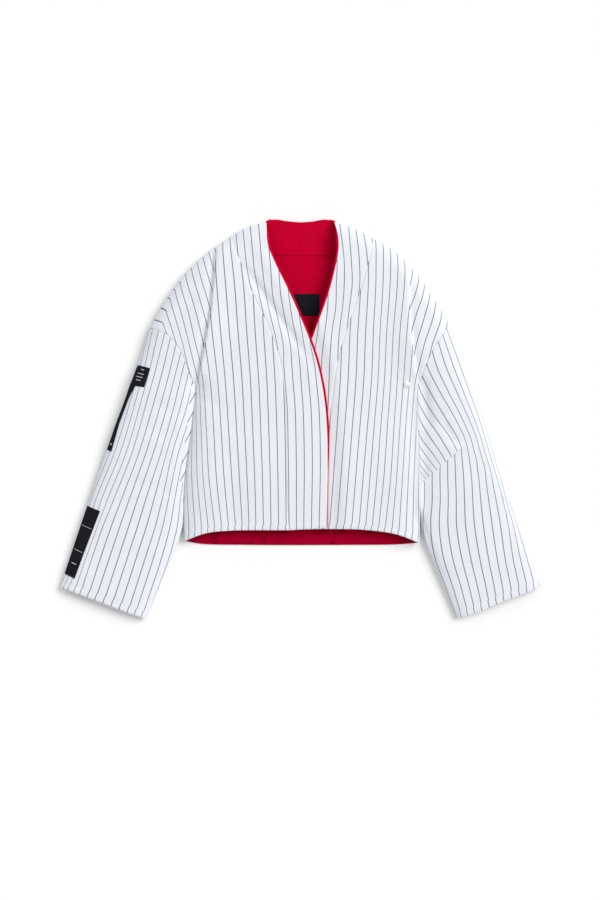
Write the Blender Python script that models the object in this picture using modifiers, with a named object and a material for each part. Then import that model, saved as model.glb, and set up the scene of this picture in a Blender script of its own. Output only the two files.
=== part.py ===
"""Reversible jacket laid flat on its back: every cloth piece at its real size.

Lengths are in millimetres until a mesh is made in metres. +X is the wearer's left,
+Y runs from the hem to the collar and +Z is up from the floor. The right front
crosses over the left one. Pieces lie in two layers, the back panel below and the
fronts above, and meet at half height where the cloth rolls over the outline.
"""
import math

import bpy
import numpy as np
from mathutils import Vector
from mathutils.bvhtree import BVHTree

MM = 0.001

# Cloth and trim
WALL = 3.0
LINING_WALL = 1.0
TRIM_WALL = 0.8
GAP = 0.3
PIPING_RADIUS = 1.5
PIPING_RESOLUTION = 2
EDGE_GAP = 0.5
EASE = {"underarm": 0.8, "shoulder": 0.6, "reach": 16.0}
TRIM_GAP = 0.6

# Heights of the laid garment
RIM = 12.0
RIM_AT_CUFF = 8.0
ROLL_HEIGHT = 27.0
ROLL_HEIGHT_AT_HEM = 21.0
ROLL_HEIGHT_AT_CUFF = 16.0
CROWN = 7.0
CROWN_START = 8.0
CROWN_REACH = 60.0
CROWN_LOSS = 0.6
TOP_ROLL = 26.0
BOTTOM_ROLL = 14.0
LIP = 1.0
TUCK = 4.2
TUCK_FULL = 6.0
TUCK_REACH = 25.0
HEM_SINK_START = -90.0
HEM_LINE = -200.0

# Cutting lines of each half as rows of x, y. A front runs from its side seam to its band seam,
# the shoulder and the sleeve start at the drop shoulder, the neck lines end at the centre back.
CUT = {
    "right": {
        "side": [(-204, -214), (-199, -86), (-195, -55), (-186, 9), (-181, 58)],
        "armhole": [(-181, 58), (-190, 74), (-200, 101), (-215, 130), (-236, 150), (-262, 159)],
        "shoulder": [(-262, 159), (-241, 198), (-206, 247), (-172, 282), (-141, 306), (-120, 319)],
        "neck_fold": [(-120, 319), (-104, 330), (-78, 339), (-55, 345)],
        "neck_seam": [(-120, 319), (-88, 293), (-55, 284), (6, 283)],
        "back_rim": [(-55, 345), (-43, 349), (-20, 346), (6, 344)],
        "band_seam": [(-18, -194), (-22, -142), (-25, -9), (-27, 47), (-34, 103), (-55, 163),
                      (-80, 215), (-101, 268), (-120, 319)],
        "free_edge": [(48, -190), (50, -89), (50, -37), (45, 42), (36, 103), (21, 150),
                      (-17, 219), (-43, 275), (-55, 304), (-55, 345)],
        "front_hem": [(-204, -214), (-165, -200), (-122, -195), (-18, -194)],
        "sleeve_outer": [(-262, 159), (-277, 114), (-293, 72), (-319, 2), (-367, -138),
                         (-421, -294)],
        "sleeve_inner": [(-181, 58), (-190, 12), (-200, -55), (-209, -105), (-212, -159),
                         (-214, -208), (-230, -250), (-276, -350)],
        "cuff": [(-421, -294), (-353, -320), (-318, -334), (-276, -350)],
    },
    "left": {
        "side": [(210, -217), (211, -159), (211, -89), (209, -51), (205, 9), (206, 58)],
        "armhole": [(206, 58), (213, 74), (221, 96), (232, 120), (247, 144), (262, 166)],
        "shoulder": [(262, 166), (244, 198), (216, 240), (193, 268), (164, 296), (130, 316)],
        "neck_fold": [(130, 316), (116, 324), (80, 338), (60, 345)],
        "neck_seam": [(130, 316), (96, 292), (62, 284), (6, 283)],
        "back_rim": [(60, 345), (45, 349), (25, 346), (6, 344)],
        "band_seam": [(48, -192), (52, -10), (57, 38), (67, 104), (85, 164), (103, 215),
                      (117, 262), (130, 316)],
        "free_edge": [(-41, -194), (-34, -37), (-18, 33), (6, 103), (21, 145), (36, 191),
                      (50, 234), (60, 275), (65, 300), (60, 345)],
        "front_hem": [(210, -217), (167, -201), (106, -193), (48, -192)],
        "sleeve_outer": [(262, 166), (281, 114), (295, 72), (321, 2), (368, -138), (423, -294)],
        "sleeve_inner": [(206, 58), (208, 9), (213, -51), (215, -89), (215, -159), (218, -208),
                         (235, -250), (276, -350)],
        "cuff": [(423, -294), (354, -320), (321, -334), (276, -350)],
    },
}
BACK_HEM = [(-204, -214), (-174, -219), (-87, -221), (88, -221), (176, -220), (210, -217)]
UNDER_HALF = "left"
SIGN = {"right": 1, "left": -1}
ROLLED_LINES = ("side", "shoulder", "neck_fold", "sleeve_outer", "sleeve_inner")

# Back lining, laid inside the rolled edges, as rows of x, y
LINING = {
    "side": [(-182, -214), (-176, -60), (-160, 50), (-190, 104), (-232, 158)],
    "other_side": [(188, -216), (190, -60), (184, 50), (204, 104), (236, 158)],
    "hem": [(-182, -214), (-87, -219), (88, -219), (188, -216)],
    "top": [(-232, 158), (-150, 262), (-88, 286), (-55, 281), (62, 281), (96, 286), (150, 266),
            (236, 158)],
}

# Soft folds of the upper layer: both ends as x, y, then the rise and width on the fold's left
# and right sides, and the distance over which one side steps to the other. A fold fades in and
# out round its ends over this share of its length.
FOLD_FADE = 0.3
FOLDS = (
    # x1, y1, x2, y2, left rise, left width, right rise, right width, step
    (-177, 66, -154, 190, -4.0, 9.0, 4.5, 34.0, 4.0),
    (-154, 190, -145, 300, -3.0, 9.0, 4.0, 34.0, 4.0),
    (204, 70, 192, 180, 3.0, 26.0, -2.5, 9.0, 5.0),
    (192, 180, 193, 275, 3.0, 30.0, -2.5, 10.0, 5.0),
    (222, -104, 283, -50, 3.5, 18.0, -1.5, 14.0, 5.0),
    (226, -14, 217, 60, -3.0, 9.0, -3.0, 9.0, 6.0),
    (276, -46, 251, -8, -2.5, 8.0, -2.5, 8.0, 6.0),
)

# Trim
LABEL_SIZE = (59.0, 39.0)
LABEL_CENTRE = (5.5, 200.5)
SNAP_PLACE = (184.0, 60.0)
SNAP_RADIUS = 4.5
SNAP_HEIGHT = 2.0
SNAP_EDGE = 0.6
SNAP_STEPS = 20
SNAP_MERGE = 0.01
PATCHES = {
    "sleeve_patch_upper": {
        "outer": [(-282, 94), (-295, 61), (-296, 59), (-303, 38), (-319, -5), (-336, -54)],
        "inner": [(-260, 88), (-270, 55), (-286, 57), (-297, 37), (-315, -7), (-330, -57)],
    },
    "sleeve_patch_lower": {
        "outer": [(-370, -152), (-390, -211), (-410, -271)],
        "inner": [(-348, -161), (-371, -220), (-393, -279)],
    },
}
SLEEVE_START = 50.0
SLEEVE_END = -320.0

# Grid spacing, as distances in from a panel's edge and the step between them
ROLL_ROWS = (0.0, 1.0, 3.0, 7.0, 14.0, 26.0)
SEAM_ROWS = (0.0, 2.0)
FRONT_STEP = 27.0
BACK_STEP = 62.0
SLEEVE_STEP = 38.0
BAND_STEP = 20.0
SLEEVE_CAP_ROWS = (0.0, 5.0, 14.0)
FOLD_ROWS = 2
PATCH_SPLIT = 3
PATCH_COLUMNS = 5
CURVE_SAMPLES = 120
SKY = 200.0

# Finishes: name, colour, roughness, metallic
CLOTH = ("striped_cloth", (0.80, 0.83, 0.87), 0.75, 0.0)
RED = ("red_cloth", (0.50, 0.003, 0.03), 0.7, 0.0)
BLACK = ("label_cloth", (0.012, 0.011, 0.014), 0.6, 0.0)
SILVER = ("snap_metal", (0.75, 0.76, 0.78), 0.3, 1.0)


def clear_scene():
    for item in list(bpy.data.objects):
        bpy.data.objects.remove(item, do_unlink=True)


def material(finish):
    name, colour, roughness, metallic = finish
    if name in bpy.data.materials:
        return bpy.data.materials[name]
    made = bpy.data.materials.new(name)
    made.use_nodes = True
    shader = made.node_tree.nodes["Principled BSDF"]
    shader.inputs["Base Color"].default_value = (*colour, 1.0)
    shader.inputs["Roughness"].default_value = roughness
    shader.inputs["Metallic"].default_value = metallic
    return made


def smooth_curve(rows):
    """Dense points of a soft curve through a table's rows."""
    points = np.array(rows, dtype=float)
    chords = np.hypot(*np.diff(points, axis=0).T)
    knots = np.concatenate(([0.0], np.cumsum(np.sqrt(chords))))
    tangents = np.gradient(points, knots, axis=0)
    place = np.linspace(0.0, knots[-1], CURVE_SAMPLES)
    low = np.clip(np.searchsorted(knots, place, side="right") - 1, 0, len(points) - 2)
    width = (knots[low + 1] - knots[low])[:, None]
    f = (place - knots[low])[:, None] / width
    start = (2 * f ** 3 - 3 * f ** 2 + 1) * points[low]
    leave = (f ** 3 - 2 * f ** 2 + f) * width * tangents[low]
    end = (3 * f ** 2 - 2 * f ** 3) * points[low + 1]
    arrive = (f ** 3 - f ** 2) * width * tangents[low + 1]
    return start + leave + end + arrive


def run_length(points):
    """Length from the first point to each point."""
    steps = np.hypot(*np.diff(points, axis=0).T)
    return np.concatenate(([0.0], np.cumsum(steps)))


def at_lengths(curve, lengths):
    run = run_length(curve)
    return np.column_stack([np.interp(lengths, run, curve[:, axis]) for axis in (0, 1)])


def moved_sideways(curve, distance):
    """The curve moved to its left by a distance."""
    direction = np.gradient(curve, axis=0)
    direction /= np.hypot(direction[:, 0], direction[:, 1])[:, None]
    return curve + np.column_stack((-direction[:, 1], direction[:, 0])) * np.reshape(distance, (-1, 1))


def spaced(curve, low_rows, high_rows, step):
    """Points along a curve: close together at both ends, with even steps between them."""
    length = run_length(curve)[-1]
    start = low_rows[-1]
    stop = length - high_rows[-1]
    count = max(1, round((stop - start) / step))
    middle = np.linspace(start, stop, count + 1)[1:-1]
    lengths = np.concatenate((low_rows, middle, length - np.array(high_rows)[::-1]))
    return at_lengths(curve, lengths)


def like(curve, pattern):
    """Points along a curve at the same fractions of its length as a pattern's points."""
    run = run_length(pattern)
    return at_lengths(curve, run / run[-1] * run_length(curve)[-1])


def end_to_end(*rows):
    """One row of points from several that follow each other."""
    return np.concatenate([rows[0]] + [row[1:] for row in rows[1:]])


def patch(left, right, low, high):
    """Plan points spread between four rows of edge points, one row for each point of the left."""
    low, high = low.copy(), high.copy()
    low[0], low[-1], high[0], high[-1] = left[0], right[0], left[-1], right[-1]
    across = (run_length(low) / run_length(low)[-1] + run_length(high) / run_length(high)[-1]) / 2
    up = (run_length(left) / run_length(left)[-1] + run_length(right) / run_length(right)[-1]) / 2
    u = across[None, :, None]
    v = up[:, None, None]
    sides = (1 - u) * left[:, None] + u * right[:, None]
    ends = (1 - v) * low[None] + v * high[None]
    low_line = (1 - u) * low[0] + u * low[-1]
    high_line = (1 - u) * high[0] + u * high[-1]
    return sides + ends - (1 - v) * low_line - v * high_line


def smooth_step(value):
    value = np.clip(value, 0.0, 1.0)
    return value * value * (3 - 2 * value)


CURVES = {side: {line: smooth_curve(rows) for line, rows in lines.items()}
          for side, lines in CUT.items()}
ROLLED = [CURVES[side][line] for side in CURVES for line in ROLLED_LINES]
ROLLED_STARTS = np.concatenate([curve[:-1] for curve in ROLLED])
ROLLED_RUNS = np.concatenate([np.diff(curve, axis=0) for curve in ROLLED])


def edge_distance(points):
    """Distance of plan points from the nearest line where the cloth rolls over."""
    offset = points.reshape(-1, 1, 2) - ROLLED_STARTS
    share = (offset * ROLLED_RUNS).sum(axis=2) / (ROLLED_RUNS ** 2).sum(axis=1)
    nearest = offset - np.clip(share, 0.0, 1.0)[:, :, None] * ROLLED_RUNS
    distance = np.sqrt((nearest ** 2).sum(axis=2)).min(axis=1)
    return distance.reshape(points.shape[:-1])


def roll(distance, width):
    """Quarter of an ellipse: 0 on the outline, 1 from this width inwards."""
    inner = 1 - np.clip(distance / width, 0.0, 1.0)
    return np.sqrt(1 - inner * inner)


def fold_rise(points):
    """Sum of the soft folds at plan points."""
    total = np.zeros(points.shape[:-1])
    for x1, y1, x2, y2, left_rise, left_width, right_rise, right_width, step in FOLDS:
        length = math.hypot(x2 - x1, y2 - y1)
        along = np.array(((x2 - x1) / length, (y2 - y1) / length))
        offset = points - np.array((x1, y1))
        place = (offset @ along) / length
        side = offset[..., 1] * along[0] - offset[..., 0] * along[1]
        into = smooth_step(place / FOLD_FADE + 0.5)
        out = smooth_step((1 - place) / FOLD_FADE + 0.5)
        on_left = smooth_step(side / step + 0.5)
        left = left_rise * np.exp(-(side / left_width) ** 2)
        right = right_rise * np.exp(-(side / right_width) ** 2)
        total += into * out * (on_left * left + (1 - on_left) * right)
    return total


def sleeve_taper(points):
    """How far down a sleeve plan points are: 0 above the underarm, 1 at the cuff."""
    return np.clip((SLEEVE_START - points[..., 1]) / (SLEEVE_START - SLEEVE_END), 0.0, 1.0)


def tuck(points):
    """How far the left front is pressed down by the right one that crosses it."""
    edge = CURVES["right"]["free_edge"]
    beyond = points[..., 0] - np.interp(points[..., 1], edge[:, 1], edge[:, 0])
    return TUCK * (1 - smooth_step((beyond - TUCK_FULL) / TUCK_REACH))


def top_height(points, sleeve=False, tucked=False):
    """Height of the upper layer's outer face at plan points."""
    taper = sleeve_taper(points) * sleeve
    sink = smooth_step((HEM_SINK_START - points[..., 1]) / (HEM_SINK_START - HEM_LINE))
    sink = sink * (not sleeve)
    full = ROLL_HEIGHT + (ROLL_HEIGHT_AT_HEM - ROLL_HEIGHT) * sink
    full = full + (ROLL_HEIGHT_AT_CUFF - ROLL_HEIGHT) * taper
    rim = RIM + (RIM_AT_CUFF - RIM) * taper
    distance = edge_distance(points)
    rounding = roll(distance, TOP_ROLL)
    inside = np.maximum(distance - CROWN_START, 0.0) / CROWN_REACH
    crown = CROWN * (1 - CROWN_LOSS * taper) * (1 - np.exp(-inside))
    height = rim + (full - rim) * rounding + crown + fold_rise(points) * smooth_step(rounding)
    return height - tuck(points) * rounding * tucked


def bottom_height(points, sleeve=False):
    """Height of the lower layer's outer face: on the floor, rolled up at the outline."""
    rim = RIM + (RIM_AT_CUFF - RIM) * sleeve_taper(points) * sleeve
    return rim * (1 - roll(edge_distance(points), BOTTOM_ROLL))


def with_height(points, height):
    return np.concatenate((points, np.asarray(height)[..., None]), axis=-1)


def unit(vectors):
    return vectors / np.linalg.norm(vectors, axis=-1)[..., None]


def heading(rows):
    """Direction along rows of points, halfway between that of the steps before and after."""
    steps = unit(np.diff(rows, axis=0))
    return unit(np.concatenate((steps[:1], steps)) + np.concatenate((steps, steps[-1:])))


def facing(grid):
    """Unit normals of a grid, on the side from which its rows and columns turn anticlockwise."""
    across = np.swapaxes(heading(np.swapaxes(grid, 0, 1)), 0, 1)
    return unit(np.cross(across, heading(grid)))


def add_lip(rim, inner, direction):
    """A short upright edge on the rim, so that two layers meet face to face."""
    inner[:, :2] = rim[:, :2]
    inner[:, 2] = RIM + direction * (GAP / 2 + LIP)
    rim[:, 2] = RIM + direction * GAP / 2


def add_object(name, data, finish):
    piece = bpy.data.objects.new(name, data)
    COLLECTION.objects.link(piece)
    data.materials.append(material(finish))
    return piece


def add_sheet(name, grid, finish, wall, anticlockwise, tube=False, outwards=False):
    """A piece of cloth: a grid of face points, with its wall inside or outside them."""
    rows, columns = grid.shape[:2]
    faces = []
    for row in range(rows - 1):
        for column in range(columns if tube else columns - 1):
            low = row * columns
            high = low + columns
            after = (column + 1) % columns
            face = (low + column, low + after, high + after, high + column)
            faces.append(face if anticlockwise else face[::-1])
    mesh = bpy.data.meshes.new(name)
    mesh.from_pydata([tuple(point) for point in grid.reshape(-1, 3) * MM], [], faces)
    mesh.shade_smooth()
    piece = add_object(name, mesh, finish)
    solid = piece.modifiers.new("wall", "SOLIDIFY")
    solid.thickness = wall * MM
    solid.offset = 1.0 if outwards else -1.0
    return piece


def surface_at(piece, plan):
    """Points on top of a piece at plan points, and how it faces there."""
    tree = BVHTree.FromObject(piece, bpy.context.evaluated_depsgraph_get())
    points, normals = np.empty((2, *plan.shape[:-1], 3))
    for index in np.ndindex(plan.shape[:-1]):
        above = Vector((*plan[index], SKY)) * MM
        place, normal, _, _ = tree.ray_cast(above, Vector((0.0, 0.0, -1.0)))
        points[index] = place / MM
        normals[index] = normal
    return points, normals


def armhole_rows(half):
    """Points up the armhole, close together at both rolled edges, for all that it joins."""
    return spaced(CURVES[half]["armhole"], ROLL_ROWS, ROLL_ROWS, FRONT_STEP)


def shifted_like(half, line, pattern, distance):
    return like(moved_sideways(CURVES[half][line], distance), pattern)


def side_rows(half, step):
    """Points up the side seam and the armhole, and how many of them are on the side seam."""
    side = spaced(CURVES[half]["side"], SEAM_ROWS, SEAM_ROWS, step)
    armhole = shifted_like(half, "armhole", armhole_rows(half), -SIGN[half] * GAP / 2)
    return end_to_end(side, armhole), len(side)


def add_front(half):
    """A front, from its side seam and armhole to its band seam."""
    outer, side_count = side_rows(half, FRONT_STEP)
    inner = shifted_like(half, "band_seam", outer, SIGN[half] * GAP / 2)
    hem = spaced(CURVES[half]["front_hem"], ROLL_ROWS, SEAM_ROWS, FRONT_STEP)
    shoulder = like(CURVES[half]["shoulder"], hem)
    plan = patch(outer, inner, hem, shoulder)
    grid = with_height(plan, top_height(plan, tucked=half == UNDER_HALF))
    add_lip(grid[:side_count, 0], grid[:side_count, 1], 1)
    add_lip(grid[-1], grid[-2], 1)
    return add_sheet("front_" + half, grid, CLOTH, WALL, anticlockwise=half == "right")


def neck_rows(half):
    """Points along the back neck seam, from the fold to the centre back."""
    return spaced(CURVES[half]["neck_seam"], ROLL_ROWS, SEAM_ROWS, BAND_STEP)


def band_grids(half):
    """Outer points of half the band: up the front to the fold, and from there to the back."""
    lines = CURVES[half]
    pattern, _ = side_rows(half, FRONT_STEP)
    seam = shifted_like(half, "band_seam", pattern, -SIGN[half] * GAP / 2)
    edge = like(lines["free_edge"], pattern)
    hem_line = np.linspace(seam[0], edge[0], CURVE_SAMPLES)
    hem = spaced(hem_line, SEAM_ROWS, SEAM_ROWS, BAND_STEP)
    front_plan = patch(seam, edge, hem, like(lines["neck_fold"], hem))
    front = with_height(front_plan, top_height(front_plan, tucked=half == UNDER_HALF))
    front[-1, :, 2] = RIM
    rows = neck_rows(half)
    back_seam = shifted_like(half, "neck_seam", rows, SIGN[half] * GAP / 2)
    rim = like(lines["back_rim"], rows)
    centre = like(np.linspace(back_seam[-1], rim[-1], CURVE_SAMPLES), hem)
    back_plan = patch(back_seam, rim, front_plan[-1], centre)
    back_plan[-1, :, 0] -= SIGN[half] * GAP / 2
    back = with_height(back_plan, bottom_height(back_plan))
    return front, back


def add_band(half):
    """Half the band, its red inner layer behind the neck and its piped front edge.

    Returns the path of the piping along its back neck edge, up to the centre back."""
    front, back = band_grids(half)
    whole = np.concatenate((front, back[1:]))
    is_right = half == "right"
    add_sheet("band_" + half, whole, CLOTH, WALL, anticlockwise=is_right)
    inner = back[len(ROLL_ROWS) - 1:, 1:-1].copy()
    inner[..., 2] += WALL + TRIM_GAP
    inner[0, :, 2] += LINING_WALL
    add_sheet("band_lining_" + half, inner, RED, LINING_WALL, anticlockwise=not is_right,
              outwards=True)
    outwards = facing(whole) if is_right else -facing(whole)
    middle = whole[:, -1] - outwards[:, -1] * WALL / 2
    beyond = unit(np.cross(heading(whole[:, -1]), outwards[:, -1])) * SIGN[half]
    path = middle + beyond * (PIPING_RADIUS + EDGE_GAP)
    add_piping("edge_" + half, path[:len(front) - FOLD_ROWS])
    return path[len(front) + FOLD_ROWS:]


def add_piping(name, path):
    """The red edge that follows the band's free edge at the middle of its wall."""
    curve = bpy.data.curves.new(name, "CURVE")
    curve.dimensions = "3D"
    curve.bevel_depth = PIPING_RADIUS * MM
    curve.bevel_resolution = PIPING_RESOLUTION
    curve.use_fill_caps = True
    spline = curve.splines.new("POLY")
    spline.points.add(len(path) - 1)
    for point, place in zip(spline.points, path):
        point.co = (*(place * MM), 1.0)
    add_object(name, curve, RED)


def add_back():
    """The back panel, the piece that lies on the floor."""
    sides = {half: side_rows(half, BACK_STEP) for half in CURVES}
    tops = {}
    for half in CURVES:
        shoulder = spaced(CURVES[half]["shoulder"], ROLL_ROWS, SEAM_ROWS, FRONT_STEP)[:-1]
        neck = shifted_like(half, "neck_seam", neck_rows(half), -SIGN[half] * GAP / 2)
        tops[half] = end_to_end(shoulder, neck), len(shoulder)
    top = end_to_end(tops["right"][0], tops["left"][0][::-1])
    hem = like(smooth_curve(BACK_HEM), top)
    plan = patch(sides["right"][0], sides["left"][0], hem, top)
    grid = with_height(plan, bottom_height(plan))
    right_count, left_count = sides["right"][1], sides["left"][1]
    right_shoulder, left_shoulder = tops["right"][1], tops["left"][1]
    add_lip(grid[:right_count, 0], grid[:right_count, 1], -1)
    add_lip(grid[:left_count, -1], grid[:left_count, -2], -1)
    add_lip(grid[-1, :right_shoulder], grid[-2, :right_shoulder], -1)
    add_lip(grid[-1, -left_shoulder:], grid[-2, -left_shoulder:], -1)
    add_sheet("back_panel", grid, CLOTH, WALL, anticlockwise=False)


def add_back_lining():
    """The red inner back, which shows in the neck and at the hem."""
    side = spaced(smooth_curve(LINING["side"]), SEAM_ROWS, SEAM_ROWS, BACK_STEP)
    other = like(smooth_curve(LINING["other_side"]), side)
    top = spaced(smooth_curve(LINING["top"]), SEAM_ROWS, SEAM_ROWS, BACK_STEP)
    hem = like(smooth_curve(LINING["hem"]), top)
    plan = patch(side, other, hem, top)
    grid = with_height(plan, np.full(plan.shape[:2], WALL + GAP))
    add_sheet("back_lining", grid, RED, LINING_WALL, anticlockwise=True, outwards=True)


def ease(rows):
    """Extra clearance of a sleeve where its rolled edges meet the body, at both armhole ends."""
    run = run_length(rows)
    underarm = EASE["underarm"] * np.exp(-(run / EASE["reach"]) ** 2)
    shoulder = EASE["shoulder"] * np.exp(-((run[-1] - run) / EASE["reach"]) ** 2)
    return underarm + shoulder


def add_sleeve(half):
    """A sleeve: flattened rings from the armhole to the cuff."""
    lines = CURVES[half]
    rows = armhole_rows(half)
    armhole = moved_sideways(rows, SIGN[half] * (GAP / 2 + ease(rows)))[::-1]
    outer = spaced(lines["sleeve_outer"], SLEEVE_CAP_ROWS, SEAM_ROWS, SLEEVE_STEP)
    inner = like(lines["sleeve_inner"], outer)
    outer[0], inner[0] = armhole[0], armhole[-1]
    plan = patch(outer, inner, armhole, like(lines["cuff"], armhole))
    top = with_height(plan, top_height(plan, sleeve=True))
    under = with_height(plan, bottom_height(plan, sleeve=True))
    for edge in (0, -1):
        top[:, edge, 2] = under[:, edge, 2] = RIM + (RIM_AT_CUFF - RIM) * sleeve_taper(plan[:, edge])
    rings = np.concatenate((top, under[:, -2:0:-1]), axis=1)
    return add_sheet("sleeve_" + half, rings, CLOTH, WALL, anticlockwise=half == "left", tube=True)


def between(line, rows):
    """Points of a table's straight lines at fractional row numbers."""
    points = np.array(line, dtype=float)
    return np.column_stack([np.interp(rows, range(len(points)), points[:, k]) for k in (0, 1)])


def add_patches(sleeve):
    """The two dark patches that lie on a sleeve."""
    for name, lines in PATCHES.items():
        last = len(lines["outer"]) - 1
        rows = np.linspace(0, last, PATCH_SPLIT * last + 1)
        outer, inner = between(lines["outer"], rows), between(lines["inner"], rows)
        share = np.linspace(0.0, 1.0, PATCH_COLUMNS)[None, :, None]
        points, normals = surface_at(sleeve, outer[:, None] * (1 - share) + inner[:, None] * share)
        add_sheet(name, points + normals * TRIM_GAP, BLACK, TRIM_WALL, anticlockwise=False,
                  outwards=True)


def add_label():
    """The dark label on the inner back, under the neck."""
    bpy.ops.mesh.primitive_cube_add(size=1.0)
    label = bpy.context.object
    low = WALL + GAP + LINING_WALL + GAP
    for vertex in label.data.vertices:
        vertex.co.x = (LABEL_CENTRE[0] + vertex.co.x * LABEL_SIZE[0]) * MM
        vertex.co.y = (LABEL_CENTRE[1] + vertex.co.y * LABEL_SIZE[1]) * MM
        vertex.co.z = (low + (vertex.co.z + 0.5) * TRIM_WALL) * MM
    label.name = label.data.name = "neck_label"
    label.data.materials.append(material(BLACK))
    for collection in list(label.users_collection):
        collection.objects.unlink(label)
    COLLECTION.objects.link(label)


def add_snap(front):
    """The metal snap on a front: a turned cap on the cloth."""
    place, normal = surface_at(front, np.array([SNAP_PLACE]))
    profile = ((0.0, SNAP_HEIGHT), (SNAP_RADIUS - 2 * SNAP_EDGE, SNAP_HEIGHT),
               (SNAP_RADIUS - SNAP_EDGE, SNAP_HEIGHT - SNAP_EDGE / 2),
               (SNAP_RADIUS, SNAP_HEIGHT - 1.5 * SNAP_EDGE), (SNAP_RADIUS, 0.0), (0.0, 0.0))
    mesh = bpy.data.meshes.new("snap")
    edges = [(index, index + 1) for index in range(len(profile) - 1)]
    mesh.from_pydata([(radius * MM, 0.0, height * MM) for radius, height in profile], edges, [])
    snap = add_object("snap", mesh, SILVER)
    screw = snap.modifiers.new("turn", "SCREW")
    screw.steps = screw.render_steps = SNAP_STEPS
    screw.use_merge_vertices = True
    screw.merge_threshold = SNAP_MERGE * MM
    outwards = Vector(normal[0])
    snap.rotation_euler = outwards.to_track_quat("Z", "Y").to_euler()
    snap.location = (Vector(place[0]) + outwards * TRIM_GAP) * MM


clear_scene()
COLLECTION = bpy.data.collections.new("reversible_jacket")
bpy.context.scene.collection.children.link(COLLECTION)
add_back()
add_back_lining()
fronts, sleeves, neck_edges = {}, {}, {}
for jacket_half in CUT:
    fronts[jacket_half] = add_front(jacket_half)
    sleeves[jacket_half] = add_sleeve(jacket_half)
    neck_edges[jacket_half] = add_band(jacket_half)
add_piping("edge_neck", np.concatenate((neck_edges["right"], neck_edges["left"][-2::-1])))
add_patches(sleeves["right"])
add_label()
add_snap(fronts["left"])
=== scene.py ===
"""Reversible jacket laid flat: the cloth, trim, stitching and stage that show.

Lengths are in millimetres until a mesh is made in metres. +X is the wearer's left,
+Y runs from the hem to the collar and +Z is up from the floor.
"""
import math

import bpy
import numpy as np
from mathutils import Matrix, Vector
from mathutils.bvhtree import BVHTree


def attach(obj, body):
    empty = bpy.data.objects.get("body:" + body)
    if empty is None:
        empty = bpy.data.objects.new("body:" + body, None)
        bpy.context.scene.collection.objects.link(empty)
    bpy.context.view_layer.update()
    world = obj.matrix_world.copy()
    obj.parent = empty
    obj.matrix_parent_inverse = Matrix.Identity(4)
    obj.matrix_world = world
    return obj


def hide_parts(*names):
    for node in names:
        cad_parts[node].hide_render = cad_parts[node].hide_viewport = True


bl_info = {
    "name": "Reversible jacket",
    "version": (1, 0, 0),
    "blender": (4, 5, 0),
    "location": "3D View > Sidebar > Jacket",
    "description": "Dresses the packed solids of a reversible jacket with cloth, trim and stitches",
    "category": "Object",
}

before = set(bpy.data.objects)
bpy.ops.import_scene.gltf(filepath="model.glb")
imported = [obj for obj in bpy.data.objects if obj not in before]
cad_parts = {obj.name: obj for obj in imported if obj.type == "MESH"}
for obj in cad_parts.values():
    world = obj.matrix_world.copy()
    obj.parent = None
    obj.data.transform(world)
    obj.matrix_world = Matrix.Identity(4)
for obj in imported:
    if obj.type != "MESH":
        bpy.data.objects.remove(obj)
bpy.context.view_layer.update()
MM = 0.001
BODY = "root"

# Heights and rolls of the laid garment, the same as the solids have
RIM = 12.0
RIM_AT_CUFF = 8.0
ROLL_HEIGHT = 27.0
ROLL_HEIGHT_AT_HEM = 21.0
ROLL_HEIGHT_AT_CUFF = 16.0
CROWN = 7.0
CROWN_START = 8.0
CROWN_REACH = 60.0
CROWN_LOSS = 0.6
TOP_ROLL = 26.0
BOTTOM_ROLL = 14.0
TUCK = 4.2
TUCK_FULL = 6.0
TUCK_REACH = 25.0
HEM_SINK_START = -90.0
HEM_LINE = -200.0
SLEEVE_START = 50.0
SLEEVE_END = -320.0
LAYER_GAP = 0.3

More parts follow.
